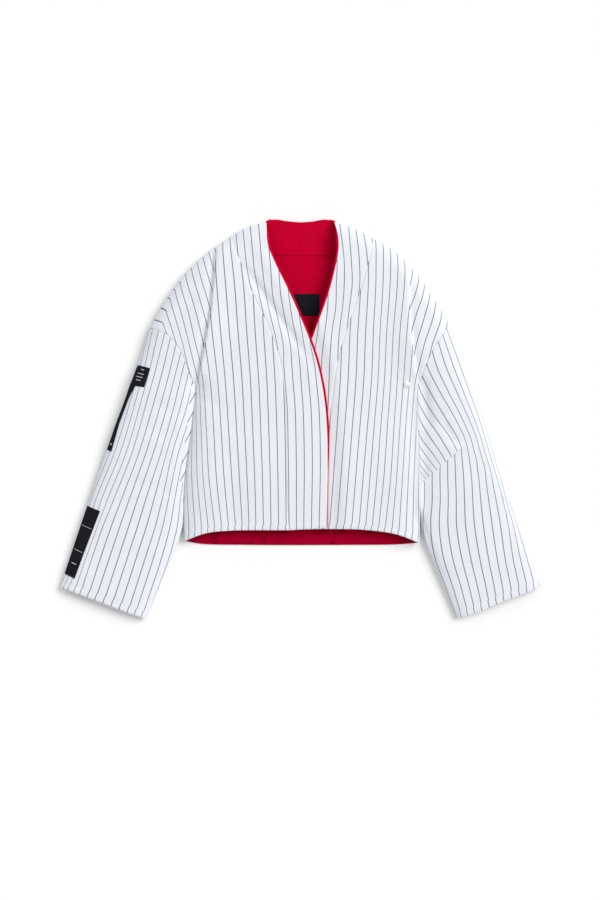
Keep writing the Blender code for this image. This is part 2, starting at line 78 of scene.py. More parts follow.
# Cutting lines of each half as rows of x, y. A front runs from its side seam to its band seam,
# the shoulder and the sleeve start at the drop shoulder, the neck lines end at the centre back.
CUT = {
    "right": {
        "side": [(-202, -214), (-203, -185), (-201.5, -125), (-198.5, -86), (-194, -55),
                 (-186, 9), (-181, 58)],
        "armhole": [(-181, 58), (-190, 74), (-200, 101), (-215, 130), (-236, 150), (-262, 159)],
        "shoulder": [(-262, 159), (-241, 198), (-206, 247), (-172, 282), (-141, 306), (-120, 319)],
        "neck_fold": [(-120, 319), (-104, 330), (-80, 340), (-58, 345)],
        "neck_seam": [(-120, 319), (-88, 295), (-55, 288), (2, 287)],
        "back_rim": [(-58, 345), (-45, 350), (-20, 347), (2, 345)],
        "band_seam": [(-18, -194), (-22, -142), (-25, -9), (-27, 47), (-34, 103), (-55, 163),
                      (-80, 215), (-101, 268), (-120, 319)],
        "free_edge": [(48, -190), (49, -89), (48, -22), (44, 28), (35, 80), (20, 131),
                      (-1, 183), (-22, 230), (-43, 273), (-55, 304), (-58, 345)],
        "front_hem": [(-202, -214), (-165, -200), (-122, -195), (-18, -194)],
        "sleeve_outer": [(-262, 159), (-277, 114), (-293, 72), (-319, 2), (-367, -138),
                         (-420, -294)],
        "sleeve_inner": [(-181, 58), (-185.7, 9), (-193.7, -55), (-198.2, -86), (-201.2, -125),
                         (-203.4, -182), (-209, -204), (-217, -228), (-228, -254), (-240, -280),
                         (-253, -312), (-270, -350)],
        "cuff": [(-420, -294), (-350, -320), (-314, -334), (-270, -350)],
    },
    "left": {
        "side": [(210, -217), (211, -159), (210.5, -89), (208.5, -51), (205.5, 9), (206, 58)],
        "armhole": [(206, 58), (213, 74), (221, 96), (232, 120), (247, 144), (262, 166)],
        "shoulder": [(262, 166), (244, 198), (216, 240), (193, 268), (164, 296), (130, 316)],
        "neck_fold": [(130, 316), (116, 324), (84, 338), (61, 345)],
        "neck_seam": [(130, 316), (96, 294), (62, 288), (2, 287)],
        "back_rim": [(61, 345), (46, 350), (25, 347), (2, 345)],
        "band_seam": [(48, -192), (52, -10), (57, 38), (67, 104), (85, 164), (103, 215),
                      (117, 262), (130, 316)],
        "free_edge": [(-41, -194), (-34, -37), (-18, 33), (6, 103), (20, 136), (39, 185),
                      (50, 217), (62, 262), (68, 296), (67, 320), (61, 345)],
        "front_hem": [(210, -217), (167, -201), (106, -193), (48, -192)],
        "sleeve_outer": [(262, 166), (281, 114), (295, 72), (321, 2), (368, -138), (423, -294)],
        "sleeve_inner": [(206, 58), (205.5, 9), (208.5, -51), (210.5, -89), (211.2, -159),
                         (218, -208), (235, -250), (277, -350)],
        "cuff": [(423, -294), (354, -320), (321, -334), (277, -350)],
    },
}
BACK_HEM = [(-202, -214), (-174, -219), (-87, -221), (88, -221), (176, -220), (210, -217)]
UNDER_HALF = "left"
SIGN = {"right": 1, "left": -1}
ROLLED_LINES = ("side", "shoulder", "neck_fold", "sleeve_outer", "sleeve_inner")

# Back lining, laid inside the rolled edges, as rows of x, y
LINING = {
    "side": [(-182, -214), (-176, -60), (-160, 50), (-190, 104), (-232, 158)],
    "other_side": [(188, -216), (190, -60), (184, 50), (204, 104), (236, 158)],
    "hem": [(-182, -214), (-87, -219), (88, -219), (188, -216)],
    "top": [(-232, 158), (-150, 262), (-88, 286), (-55, 281), (62, 281), (96, 286), (150, 266),
            (236, 158)],
}

# Soft folds of the upper layer: both ends as x, y, then the rise and width on the fold's left
# and right sides, and the distance over which one side steps to the other. A fold fades in and
# out round its ends over this share of its length.
FOLD_FADE = 0.3
FOLDS = (
    # x1, y1, x2, y2, left rise, left width, right rise, right width, step
    (-177, 66, -154, 190, -4.0, 9.0, 4.5, 34.0, 3.0),
    (-154, 190, -145, 300, -3.0, 9.0, 4.0, 34.0, 3.0),
    (204, 70, 192, 180, 3.0, 26.0, -2.5, 9.0, 4.0),
    (192, 180, 193, 275, 3.0, 30.0, -2.5, 10.0, 4.0),
    (222, -104, 283, -50, 3.5, 18.0, -1.5, 14.0, 4.0),
    (226, -14, 217, 60, -3.0, 9.0, -3.0, 9.0, 6.0),
    (276, -46, 251, -8, -2.5, 8.0, -2.5, 8.0, 6.0),
    (212, -161, 240, -244, 0.7, 9.0, -1.3, 5.0, 1.2),
)

# Light creases of each piece: both ends as x, y, then the rise and the width. A crease is full
# within this share of its length from its middle, and fades out over the share after it.
CREASE_FULL = 0.25
CREASE_FADE = 0.25
CREASES = {
    "front_right": (
        # x1, y1, x2, y2, rise, width
        (-160, -190, -150, -20, 0.9, 20.0),
        (-118, -196, -112, -60, -0.8, 16.0),
        (-70, -190, -82, -40, 0.7, 20.0),
        (-190, -90, -150, -60, -0.8, 9.0),
        (-186, 40, -128, 20, -1.3, 10.0),
        (-168, 6, -110, -40, 0.9, 14.0),
        (-222, 170, -176, 214, -1.2, 8.0),
        (-232, 200, -196, 236, 0.8, 9.0),
        (-110, 250, -88, 150, 0.7, 14.0),
    ),
    "front_left": (
        (170, -196, 178, -60, 0.8, 18.0),
        (120, -192, 118, -40, -0.7, 18.0),
        (84, -190, 80, -60, 0.6, 14.0),
        (206, 30, 150, 4, -1.2, 10.0),
        (196, -10, 120, -52, 0.8, 15.0),
        (230, 160, 206, 214, -0.9, 9.0),
        (110, 180, 132, 280, 0.7, 14.0),
    ),
    "sleeve_right": (
        (-196, 8, -262, 30, -1.0, 10.0),
        (-206, -60, -290, -28, 0.8, 14.0),
        (-214, -130, -300, -110, -0.9, 12.0),
        (-232, -240, -330, -196, 0.8, 16.0),
        (-352, -120, -318, -10, 0.7, 14.0),
        (-246, 148, -268, 96, -0.8, 8.0),
    ),
    "sleeve_left": (
        (216, 20, 284, 48, -0.9, 10.0),
        (222, -150, 320, -112, 0.9, 14.0),
        (226, -210, 300, -176, -0.9, 11.0),
        (240, -262, 350, -230, 0.8, 16.0),
        (330, -20, 372, -160, 0.7, 14.0),
        (250, 150, 268, 92, -0.8, 8.0),
    ),
    "band_right": (
        (6, -180, 18, 20, 0.5, 14.0),
        (-98, 268, 8, 114, -4.0, 7.0),
        (-80, 312, -10, 180, 1.6, 9.0),
        (-4, 130, 22, 60, 0.8, 8.0),
    ),
    "band_left": (
        (84, 300, 62, 200, -0.6, 9.0),
        (40, 180, 30, 140, 0.4, 8.0),
    ),
    "back_lining": (
        (-20, 270, -34, 160, 0.9, 7.0),
        (34, 262, 44, 180, 0.8, 6.0),
        (-128, -219, -96, -188, 3.2, 4.0),
        (-66, -213, -22, -201, 3.0, 3.2),
        (-24, -219, -50, -197, 2.6, 4.0),
        (22, -204, 62, -209, 3.0, 3.0),
        (60, -219, 78, -194, 3.2, 4.5),
        (146, -217, 116, -197, 2.8, 4.0),
        (-156, -209, -118, -204, 2.4, 3.2),
    ),
}

# Where each piece's stripes run: x of the numbered stripes at rows of y
STRIPES = {
    "front_right": {
        "numbers": (0, 3, 6, 9, 12),
        "rows": {
            -184: (-36.4, -76.0, -111.8, -148.4, -182.7),
            -100: (-37.5, -77.9, -118.0, -157.9, -188.3),
            -16: (-39.4, -81.4, -123.4, -162.4, -189.9),
            68: (-42.5, -85.2, -129.3, -168.5, -195.1),
            152: (-47.8, -91.7, -137.0, -181.0, -225.0),
            236: (-52.0, -97.7, -144.0, -190.0, -235.0),
            310: (-65.6, -107.6, -148.8, -191.6, -233.6),
        },
    },
    "front_right_beyond": {
        "numbers": (6, 9, 12),
        "rows": {
            89: (-133.9, -170.6, -205.6),
            131: (-140.0, -180.8, -214.6),
            194: (-156.1, -195.8, -234.7),
            236: (-168.7, -208.8, -247.6),
            278: (-180.8, -219.6, -260.0),
        },
    },
    "front_left": {
        "numbers": (-4, 0, 4, 8),
        "rows": {
            -184: (52.9, 104.1, 150.2, 198.3),
            -100: (59.2, 110.8, 158.9, 200.0),
            -16: (65.3, 118.0, 164.3, 205.5),
            68: (70.9, 125.3, 170.3, 213.5),
            152: (74.4, 128.6, 174.7, 223.0),
            236: (80.5, 132.8, 182.7, 232.0),
            300: (81.4, 133.5, 185.5, 237.0),
        },
    },
    "front_left_beyond": {
        "numbers": (5, 7, 9),
        "rows": {
            89: (182.7, 207.4, 234.5),
            131: (189.9, 217.5, 245.9),
            173: (200.7, 231.7, 261.6),
            215: (214.7, 242.4, 270.4),
            257: (226.6, 254.6, 282.6),
        },
    },
    "band_right": {
        "numbers": (-4, -2, 0, 2, 4),
        "rows": {
            -184: (-62.0, -41.0, -18.2, 7.5, 34.3),
            -58: (-64.0, -42.0, -19.6, 8.2, 36.2),
            26: (-64.0, -44.0, -21.9, 5.8, 33.3),
            68: (-66.0, -46.0, -25.4, 2.5, 29.1),
            89: (-66.0, -47.0, -27.1, 1.1, 26.8),
            131: (-69.0, -50.0, -28.7, -3.9, 18.9),
            173: (-83.1, -60.4, -37.5, -12.6, 14.0),
            215: (-92.8, -69.8, -46.6, -18.4, 9.6),
            257: (-103.0, -78.1, -49.7, -21.9, 6.1),
            310: (-109.5, -83.4, -54.3, -25.4, 2.6),
        },
    },
    "band_left": {
        "numbers": (-4, -2, 0, 2),
        "rows": {
            68: (23.6, 51.5, 79.6, 107.0),
            110: (25.4, 53.2, 80.5, 107.5),
            152: (32.0, 56.5, 82.3, 109.0),
            194: (35.0, 63.0, 86.8, 112.5),
            236: (35.9, 64.1, 91.7, 118.0),
            278: (38.5, 65.3, 89.9, 118.1),
            320: (32.4, 58.6, 87.0, 112.9),
        },
    },
    "sleeve_right": {
        "numbers": (6, 4, 2, 0, -2, -4, -6),
        "rows": {
            -310: (-430.0, -408.6, -384.0, -354.6, -322.7, -291.0, -263.0),
            -247: (-401.6, -385.0, -364.2, -333.4, -302.1, -270.7, -242.2),
            -184: (-379.8, -360.5, -342.1, -312.2, -281.4, -250.6, -225.2),
            -142: (-366.6, -346.2, -324.8, -297.5, -268.6, -239.9, -218.0),
            -58: (-332.7, -312.2, -291.6, -267.1, -241.0, -221.2, -200.0),
            26: (-306.4, -287.0, -267.1, -241.2, -217.4, -195.0, -172.0),
            89: (-289.6, -270.4, -249.6, -224.2, -202.1, -179.4, -157.0),
            131: (-280.9, -262.5, -239.2, -214.6, -189.9, -165.5, -141.0),
        },
    },
    "sleeve_left": {
        "numbers": (0, 2, 4, 6, 8, 10),
        "rows": {
            -331: (279.1, 305.6, 333.4, 361.0, 389.0, 417.0),
            -289: (266.4, 295.4, 324.8, 353.9, 382.9, 410.7),
            -247: (252.7, 284.2, 315.5, 345.8, 373.8, 399.7),
            -184: (244.1, 274.1, 305.2, 336.2, 364.9, 382.2),
            -142: (245.5, 273.4, 302.2, 330.2, 356.0, 368.2),
            -100: (245.0, 271.9, 299.8, 324.3, 343.7, 354.0),
            -58: (245.9, 270.4, 294.2, 315.4, 331.6, 343.9),
        },
    },
    "sleeve_left_beyond": {
        "numbers": (0, 2, 4, 6, 8),
        "rows": {
            -79: (257.3, 283.0, 302.0, 322.0, 338.0),
            -58: (245.3, 275.1, 294.2, 315.4, 331.6),
            -37: (230.8, 265.3, 288.9, 309.8, 325.7),
            5: (204.8, 235.2, 268.8, 293.0, 312.7),
            47: (179.4, 210.9, 244.5, 273.9, 297.9),
            89: (160.0, 191.6, 223.5, 255.7, 282.6),
            131: (150.0, 181.0, 212.6, 242.4, 267.2),
        },
    },
}
# Lines where the cloth is folded over and its stripes jump, as rows of x, y, with the heights
# between which the jump sets in
STRIPE_JUMPS = {
    "front_right": {"line": [(-177, 66), (-154, 190), (-145, 300)], "side": -1, "from": (40, 95)},
    "front_left": {"line": [(204, 70), (192, 180), (193, 275)], "side": 1, "from": (40, 95)},
}
# The left sleeve's stripes jump across its elbow crease, and no more past the crease's end
SLEEVE_JUMP = {"from": (222.3, -104.1), "to": (283.0, -49.5), "end": 0.9, "fade": 0.3}
# The right sleeve's under side turns up beside the body, and its stripes lean there
UNDERARM = {"width": 8.0, "end": -112.0, "lean": (0.884, -0.467), "pitch": 12.2, "start": 0.07}

# Trim
LABEL_CENTRE = (5.5, 200.5)
LABEL_SIZE = (59.0, 39.0)
LABEL_POINTS = (60, 40)
LABEL_WALL = 0.5
# The label's edge is folded under: it lies lower by the sink and comes up again over the fold
LABEL_SINK = 0.35
LABEL_RISE = 0.45
LABEL_FOLD = 1.2
# Depth of the groove inside that edge, its distance in and its width
LABEL_GROOVE = (0.15, 2.2, 0.5)
# Half the length and half the width of the embossed bar
LABEL_BAR = (17.0, 3.0)
LABEL_BAR_RISE = 0.18
LABEL_CLEARANCE = 12.0
SNAP_PLACE = (187.0, 59.0)
SNAP_CORNERS = 40
SNAP_LIFT = 0.1
# Steps of the snap from its foot to its middle: rise, then the size against the step before
SNAP_STEPS = ((0.9, 1.0), (0.5, 0.97), (0.2, 0.9), (-0.1, 0.9), (-0.5, 0.93), (0.0, 0.95),
              (0.5, 0.93), (0.25, 0.8), (0.12, 0.6), (0.04, 0.5))
PATCH_LIFT = 1.1
PATCH_WALL = 0.9
PATCH_COLUMNS = 11
PATCHES = {
    "sleeve_patch_upper": {
        "outer": [(-282, 94), (-295, 61), (-296, 59), (-303, 38), (-319, -5), (-336, -54)],
        "inner": [(-260, 88), (-270, 55), (-286, 57), (-297, 37), (-314, -7), (-328, -57)],
    },
    "sleeve_patch_lower": {
        "outer": [(-371, -152), (-391, -211), (-411, -271)],
        "inner": [(-348, -161), (-371, -220), (-393, -279)],
    },
}
# Plain printed bars of the patches: patch, share along it, share across it, length, width
PRINT_BARS = (
    ("sleeve_patch_upper", 0.05, 0.50, 6.0, 1.3),
    ("sleeve_patch_upper", 0.09, 0.48, 11.0, 1.3),
    ("sleeve_patch_upper", 0.13, 0.46, 12.0, 1.3),
    ("sleeve_patch_upper", 0.17, 0.46, 8.0, 1.3),
    ("sleeve_patch_upper", 0.93, 0.5, 2.6, 2.6),
    ("sleeve_patch_lower", 0.28, 0.5, 18.0, 0.7),
    ("sleeve_patch_lower", 0.62, 0.5, 15.0, 0.7),
    ("sleeve_patch_lower", 0.82, 0.5, 9.0, 1.3),
)
PRINT_LIFT = 0.4
PRINT_WALL = 0.1
PRINT_POINTS = (7, 3)
PRINT_SLOPE_ROWS = 2

# The red edge widens above the hem and narrows again at the back neck
EDGE_WIDENS = {"from": -130.0, "over": 120.0}
EDGE_NARROWS = {"from": 318.0, "over": 20.0}
EDGE_LEAST = 1.0
EDGE_PROUD = 0.35
EDGE_SINK = 0.9
EDGE_GIRTH = 2.0
EDGE_WAVE = 0.05
EDGE_WAVE_LENGTH = 9.0

# Where sleeve and body press together, the groove between them is shallower by this much
GROOVE_LIFT = {"right": 3.5, "left": 12.5}
GROOVE_WIDTH = 13.0
GROOVE_END = -185.0
GROOVE_FADE = 35.0
# The last bit of cloth at the shoulder turns over, so its stripes run straight off the outline
HOOK = {"right": 3.0, "left": 0.6}
HOOK_AT_DROP = {"right": 21.0, "left": 0.6}
HOOK_REACH = 48.0

# Unevenness of all the cloth: rise and length of its waves
UNEVENNESS = ((0.35, 70.0), (0.12, 21.0))
WAVES = 6
WAVE_LEAST = 0.7
# Unevenness of the red cloth: rise, length and seed of its waves
BAND_LINING_WAVES = (0.25, 16.0, 11)
BACK_LINING_WAVES = (0.3, 34.0, 5)
BAND_LINING_DROP = 0.5
LINING_HEM_FADE = 4.0

# Seams, hems and stitches
SEAM_DEPTH = 0.7
SEAM_WIDTH = 1.1
SEAM_RIDGE = 0.12
SEAM_RIDGE_PLACE = 4.2
SEAM_RIDGE_WIDTH = 2.0
HEM_STITCH_IN = 8.7
CUFF_STITCH_IN = 11.4
LINING_STITCH_IN = 5.3
STITCH_GROOVE = 0.55
STITCH_GROOVE_WIDTH = 1.0
HEM_FOLD = 1.0
HEM_FOLD_WIDTH = 1.3
HEM_KINK = 1.4
HEM_KINK_WIDTH = 1.5
PUCKER = 0.22
PUCKER_LENGTH = 11.0
PUCKER_SLANT = 40.0
STITCH_SIDES = 6
STITCH_RINGS = 4
STITCH_WIDTH = 0.5
STITCH_HEIGHT = 0.4
STITCH_SHARE = 0.72
STITCH_LIFT = 0.08
# Points of a hem line that its stitches cover, so that they stop short of the seams
FRONT_STITCHED = slice(6, -3)
BAND_STITCHED = slice(2, -2)
CUFF_STITCHED = slice(8, -8)

# Grid spacing
ROLL_ROWS = (0.0, 0.2, 0.6, 1.2, 2.1, 3.3, 4.8, 6.6, 8.8, 11.4, 14.4, 18.0, 22.0, 26.0)
SEAM_ROWS = (0.0, 0.6, 1.3, 2.2, 3.6, 5.4)
CLOTH_STEP = 3.0
BACK_STEP = 7.0
LINING_STEP = 4.0
PATCH_STEP = 2.0
CURVE_SAMPLES = 160
CHUNK = 4000
SKY = 200.0
RING_POINTS = 10
EDGE_EASING = 8
NEAR_ZERO = 0.01

# Finishing of the meshes, with the merge distance in metres
CLOTH_BEVEL = 0.7
LINING_BEVEL = 0.3
PATCH_BEVEL = 0.25
LABEL_BEVEL = 0.2
BEVEL_SEGMENTS = 2
BEVEL_ANGLE = math.radians(50)
CLOTH_ANGLE = math.radians(55)
SNAP_ANGLE = math.radians(40)
MERGE_DISTANCE = 0.00001

# Widths of crossing threads and of the pinstripe's wavering and blur, in metres
COTTON_THREAD = 0.00042
LINING_THREAD = 0.00032
TAPE_THREAD = 0.0005
PRINT_THREAD = 0.0004
SEWING_THREAD = 0.0003
STRIPE_WAVER = 0.00036
STRIPE_BLUR = 0.0002
# Added to stripe numbers, so that all are above 0 and each stripe's middle is at a half
STRIPE_START = 1000.5
# Noises of the finishes: scale to a metre, and detail
NOISES = {
    "stripe_waver": (900.0, 2.0),
    "stripe_threads": (2600.0, 1.0),
    "cloth_shade": (14.0, 4.0),
    "cloth_rough": (1500.0, 3.0),
    "cloth_pucker": (130.0, 3.0),
    "red_shade": (22.0, 4.0),
    # where painted crease shade darkens the red near the hem
    "red_painted_crease_shade": (45.0, 3.0),
    "red_pucker": (160.0, 3.0),
    "tape_fibres": (700.0, 3.0),
    "metal_wear": (900.0, 4.0),
    "floor_shade": (0.8, 1.0),
}
# Bumps of the finishes: depth in metres, and strength
BUMPS = {"cloth": (0.00022, 0.55), "red": (0.0003, 0.5), "tape": (0.00015, 0.5)}
# How much weave, roughness and puckers each add to a bump
CLOTH_RELIEF = {"weave": 0.28, "rough": 0.4, "pucker": 1.1}
RED_WEAVE = 0.3
TAPE_WEAVE = 0.6
# Tones of the red against its own colour, the tones of the painted shadow and of the painted crease
# shade at the hem, and the heights in metres between which that painted shadow darkens the hem
RED_COTTON_TONE = 0.8
RED_EDGE_TONE = 0.9
RED_PAINTED_SHADOW_TONE = 0.63
RED_PAINTED_CREASE_SHADE_TONE = 0.4
RED_HEM_PAINTED_SHADOW = (-0.2, -0.17)
SEWING_WHITE = (0.74, 0.77, 0.83, 1.0)
SEWING_RED = (0.10, 0.0002, 0.006, 1.0)
PRINT_GREY = (0.42, 0.42, 0.44, 1.0)

# Stage
FLOOR_SIZE = 60.0
CAMERA_PLACE = (0.0009, -0.05425, 2.615)
CAMERA_LENS = 59.43
SENSOR = 36.0
KEY_PLACE = (1.8, 1.2, 2.0)
KEY_ANGLE = 38.0
KEY_STRENGTH = 2.02
WORLD_STRENGTH = 0.64
WORLD_COLOUR = (1.0, 1.0, 1.0, 1.0)
CAMERA_REACH = 100.0


# Curves and panels in plan

def hermite(knots, values, wanted):
    """Values of a soft curve through rows at given knots, straight on beyond both ends."""
    tangents = np.gradient(values, knots, axis=0)
    inside = np.clip(wanted, knots[0], knots[-1])
    low = np.clip(np.searchsorted(knots, inside, side="right") - 1, 0, len(knots) - 2)
    width = (knots[low + 1] - knots[low])[:, None]
    f = (inside - knots[low])[:, None] / width
    curve = (2 * f ** 3 - 3 * f ** 2 + 1) * values[low]
    curve += (f ** 3 - 2 * f ** 2 + f) * width * tangents[low]
    curve += (3 * f ** 2 - 2 * f ** 3) * values[low + 1]
    curve += (f ** 3 - f ** 2) * width * tangents[low + 1]
    end = np.where((wanted > knots[-1])[:, None], tangents[-1], tangents[0])
    return curve + (wanted - inside)[:, None] * end


def smooth_curve(rows):
    """Dense points of a soft curve through a table's rows."""
    points = np.array(rows, dtype=float)
    chords = np.hypot(*np.diff(points, axis=0).T)
    knots = np.concatenate(([0.0], np.cumsum(np.sqrt(chords))))
    return hermite(knots, points, np.linspace(0.0, knots[-1], CURVE_SAMPLES))


def run_length(points):
    """Length from the first point to each point."""
    steps = np.linalg.norm(np.diff(points, axis=0), axis=1)
    return np.concatenate(([0.0], np.cumsum(steps)))


def at_lengths(curve, lengths):
    """Points of a curve at given lengths from its start."""
    run = run_length(curve)
    return np.column_stack([np.interp(lengths, run, curve[:, axis])
                            for axis in range(curve.shape[1])])


def moved_sideways(curve, distance):
    """The curve moved to its left by a distance."""
    direction = np.gradient(curve, axis=0)
    direction /= np.hypot(direction[:, 0], direction[:, 1])[:, None]
    return curve + np.column_stack((-direction[:, 1], direction[:, 0])) * distance


def spaced(curve, low_rows, high_rows, step):
    """Points along a curve: close together at both ends, with even steps between them."""
    length = run_length(curve)[-1]
    start = low_rows[-1]
    stop = length - high_rows[-1]
    count = max(1, round((stop - start) / step))
    middle = np.linspace(start, stop, count + 1)[1:-1]
    lengths = np.concatenate((low_rows, middle, length - np.array(high_rows)[::-1]))
    return at_lengths(curve, lengths)


def like(curve, pattern):
    """Points along a curve at the same fractions of its length as a pattern's points."""
    run = run_length(pattern)
    return at_lengths(curve, run / run[-1] * run_length(curve)[-1])


def end_to_end(*rows):
    """One row of points from several that follow each other."""
    return np.concatenate([rows[0]] + [row[1:] for row in rows[1:]])


def panel(left, right, low, high):
    """Plan points spread between four rows of edge points, one row for each point of the left."""
    low, high = low.copy(), high.copy()
    low[0], low[-1], high[0], high[-1] = left[0], right[0], left[-1], right[-1]
    across = (run_length(low) / run_length(low)[-1] + run_length(high) / run_length(high)[-1]) / 2
    up = (run_length(left) / run_length(left)[-1] + run_length(right) / run_length(right)[-1]) / 2
    u = across[None, :, None]
    v = up[:, None, None]
    sides = (1 - u) * left[:, None] + u * right[:, None]
    ends = (1 - v) * low[None] + v * high[None]
    low_line = (1 - u) * low[0] + u * low[-1]
    high_line = (1 - u) * high[0] + u * high[-1]
    return sides + ends - (1 - v) * low_line - v * high_line


def smooth_step(value):
    """A soft step from 0 to 1."""
    value = np.clip(value, 0.0, 1.0)
    return value * value * (3 - 2 * value)


def from_lines(points, lines):
    """Offset of plan points from the nearest place on some lines, and its length."""
    starts = np.concatenate([line[:-1] for line in lines])
    runs = np.concatenate([np.diff(line, axis=0) for line in lines])
    squares = (runs ** 2).sum(axis=1)
    flat = points.reshape(-1, 2)
    offsets = np.empty_like(flat)
    for first in range(0, len(flat), CHUNK):
        offset = flat[first:first + CHUNK, None] - starts
        share = np.clip((offset * runs).sum(axis=2) / squares, 0.0, 1.0)
        nearest = offset - share[:, :, None] * runs
        best = (nearest ** 2).sum(axis=2).argmin(axis=1)
        offsets[first:first + CHUNK] = nearest[np.arange(len(best)), best]
    offsets = offsets.reshape(points.shape)
    return offsets, np.linalg.norm(offsets, axis=-1)


def distance_from(points, lines):
    """Distance of plan points from the nearest of some lines."""
    return from_lines(points, lines)[1]


CURVES = {side: {line: smooth_curve(rows) for line, rows in lines.items()}
          for side, lines in CUT.items()}
ROLLED = [CURVES[side][line] for side in CURVES for line in ROLLED_LINES]
SEAMS = [CURVES[side][line] for side in CURVES for line in ("band_seam", "armhole")]


# Heights of the cloth

def roll(distance, width):
    """Quarter of an ellipse: 0 on the outline, 1 from this width inwards."""
    inner = 1 - np.clip(distance / width, 0.0, 1.0)
    return np.sqrt(1 - inner * inner)


def fold_rise(points):
    """Sum of the soft folds at plan points."""
    total = np.zeros(points.shape[:-1])
    for x1, y1, x2, y2, left_rise, left_width, right_rise, right_width, step in FOLDS:
        place, side = along_and_aside(points, x1, y1, x2, y2)
        into = smooth_step(place / FOLD_FADE + 0.5)
        out = smooth_step((1 - place) / FOLD_FADE + 0.5)
        on_left = smooth_step(side / step + 0.5)
        left = left_rise * np.exp(-(side / left_width) ** 2)
        right = right_rise * np.exp(-(side / right_width) ** 2)
        total += into * out * (on_left * left + (1 - on_left) * right)
    return total


def along_and_aside(points, x1, y1, x2, y2):
    """Share along a straight line, 0 to 1, and the distance to its left, of plan points."""
    length = math.hypot(x2 - x1, y2 - y1)
    along = np.array(((x2 - x1) / length, (y2 - y1) / length))
    offset = points - np.array((x1, y1))
    return (offset @ along) / length, offset[..., 1] * along[0] - offset[..., 0] * along[1]


def crease_rise(points, name):
    """Sum of a piece's light creases, which fade out at both ends."""
    total = np.zeros(points.shape[:-1])
    for x1, y1, x2, y2, rise, width in CREASES[name]:
        place, side = along_and_aside(points, x1, y1, x2, y2)
        beyond = np.maximum(np.abs(place - 0.5) - CREASE_FULL, 0.0) / CREASE_FADE
        total += rise * np.exp(-(side / width) ** 2) * np.exp(-beyond ** 2)
    return total


def ripple(points, length, seed):
    """Uneven relief between -1 and 1, of slanting waves of about this length."""
    chance = np.random.default_rng(seed)
    total = np.zeros(points.shape[:-1])
    for turn, stretch, start in chance.random((WAVES, 3)):
        angle = turn * math.tau
        direction = np.array((math.cos(angle), math.sin(angle)))
        total += np.sin(points @ direction / (length * (WAVE_LEAST + stretch)) * math.tau
                        + start * math.tau)
    return total / WAVES


def sleeve_taper(points):
    """How far down a sleeve plan points are: 0 above the underarm, 1 at the cuff."""
    return np.clip((SLEEVE_START - points[..., 1]) / (SLEEVE_START - SLEEVE_END), 0.0, 1.0)


def tuck(points):
    """How far the left front is pressed down by the right one that crosses it."""
    edge = CURVES["right"]["free_edge"]
    beyond = points[..., 0] - np.interp(points[..., 1], edge[:, 1], edge[:, 0])
    return TUCK * (1 - smooth_step((beyond - TUCK_FULL) / TUCK_REACH))


def groove_lift(points, half):
    """How much higher the upper layer ends where sleeve and body lie against each other."""
    distance = distance_from(points, [CURVES[half]["side"], CURVES[half]["sleeve_inner"]])
    fade = smooth_step((points[..., 1] - GROOVE_END) / GROOVE_FADE)
    return GROOVE_LIFT[half] * np.exp(-(distance / GROOVE_WIDTH) ** 2) * fade


def top_height(points, half, sleeve=False, tucked=False):
    """Height of the upper layer's outer face at plan points, and how flat it is there."""
    taper = sleeve_taper(points) * sleeve
    sink = smooth_step((HEM_SINK_START - points[..., 1]) / (HEM_SINK_START - HEM_LINE))
    sink *= not sleeve
    full = ROLL_HEIGHT + (ROLL_HEIGHT_AT_HEM - ROLL_HEIGHT) * sink
    full = full + (ROLL_HEIGHT_AT_CUFF - ROLL_HEIGHT) * taper
    rim = RIM + (RIM_AT_CUFF - RIM) * taper + groove_lift(points, half)
    distance = distance_from(points, ROLLED)
    rounding = roll(distance, TOP_ROLL)
    inside = np.maximum(distance - CROWN_START, 0.0) / CROWN_REACH
    crown = CROWN * (1 - CROWN_LOSS * taper) * (1 - np.exp(-inside))
    height = rim + (full - rim) * rounding + crown + fold_rise(points) * smooth_step(rounding)
    return height - tuck(points) * rounding * tucked, rounding


def bottom_height(points, sleeve=False):
    """Height of the lower layer's outer face: on the floor, rolled up at the outline."""
    rim = RIM + (RIM_AT_CUFF - RIM) * sleeve_taper(points) * sleeve
    distance = distance_from(points, ROLLED)
    return rim * (1 - roll(distance, BOTTOM_ROLL))


def seam_rise(points, lines):
    """A narrow dip along seams, with the seam allowance's faint ridge beside it."""
    distance = distance_from(points, lines)
    dip = -SEAM_DEPTH * np.exp(-(distance / SEAM_WIDTH) ** 2)
    aside = (distance - SEAM_RIDGE_PLACE) / SEAM_RIDGE_WIDTH
    return dip + SEAM_RIDGE * np.exp(-aside ** 2)


def hem_rise(points, lines, stitch_in):
    """A hem: its edge turned in, a stitched groove and the small puckers that the stitches pull."""
    distance = distance_from(points, lines)
    turned = -HEM_FOLD * np.exp(-(distance / HEM_FOLD_WIDTH) ** 2)
    groove = -STITCH_GROOVE * np.exp(-((distance - stitch_in) / STITCH_GROOVE_WIDTH) ** 2)
    near = np.exp(-(distance / stitch_in) ** 2)
    turn = points[..., 0] / PUCKER_LENGTH * math.tau + points[..., 1] / PUCKER_SLANT
    return turned + groove + PUCKER * near * np.sin(turn)


def relief(points, name, rounding):
    """A piece's light creases and the cloth's own unevenness."""
    seed = sum(ord(letter) for letter in name)
    uneven = sum(rise * ripple(points, length, seed + index)
                 for index, (rise, length) in enumerate(UNEVENNESS))
    return (crease_rise(points, name) + uneven) * rounding


# Stripes

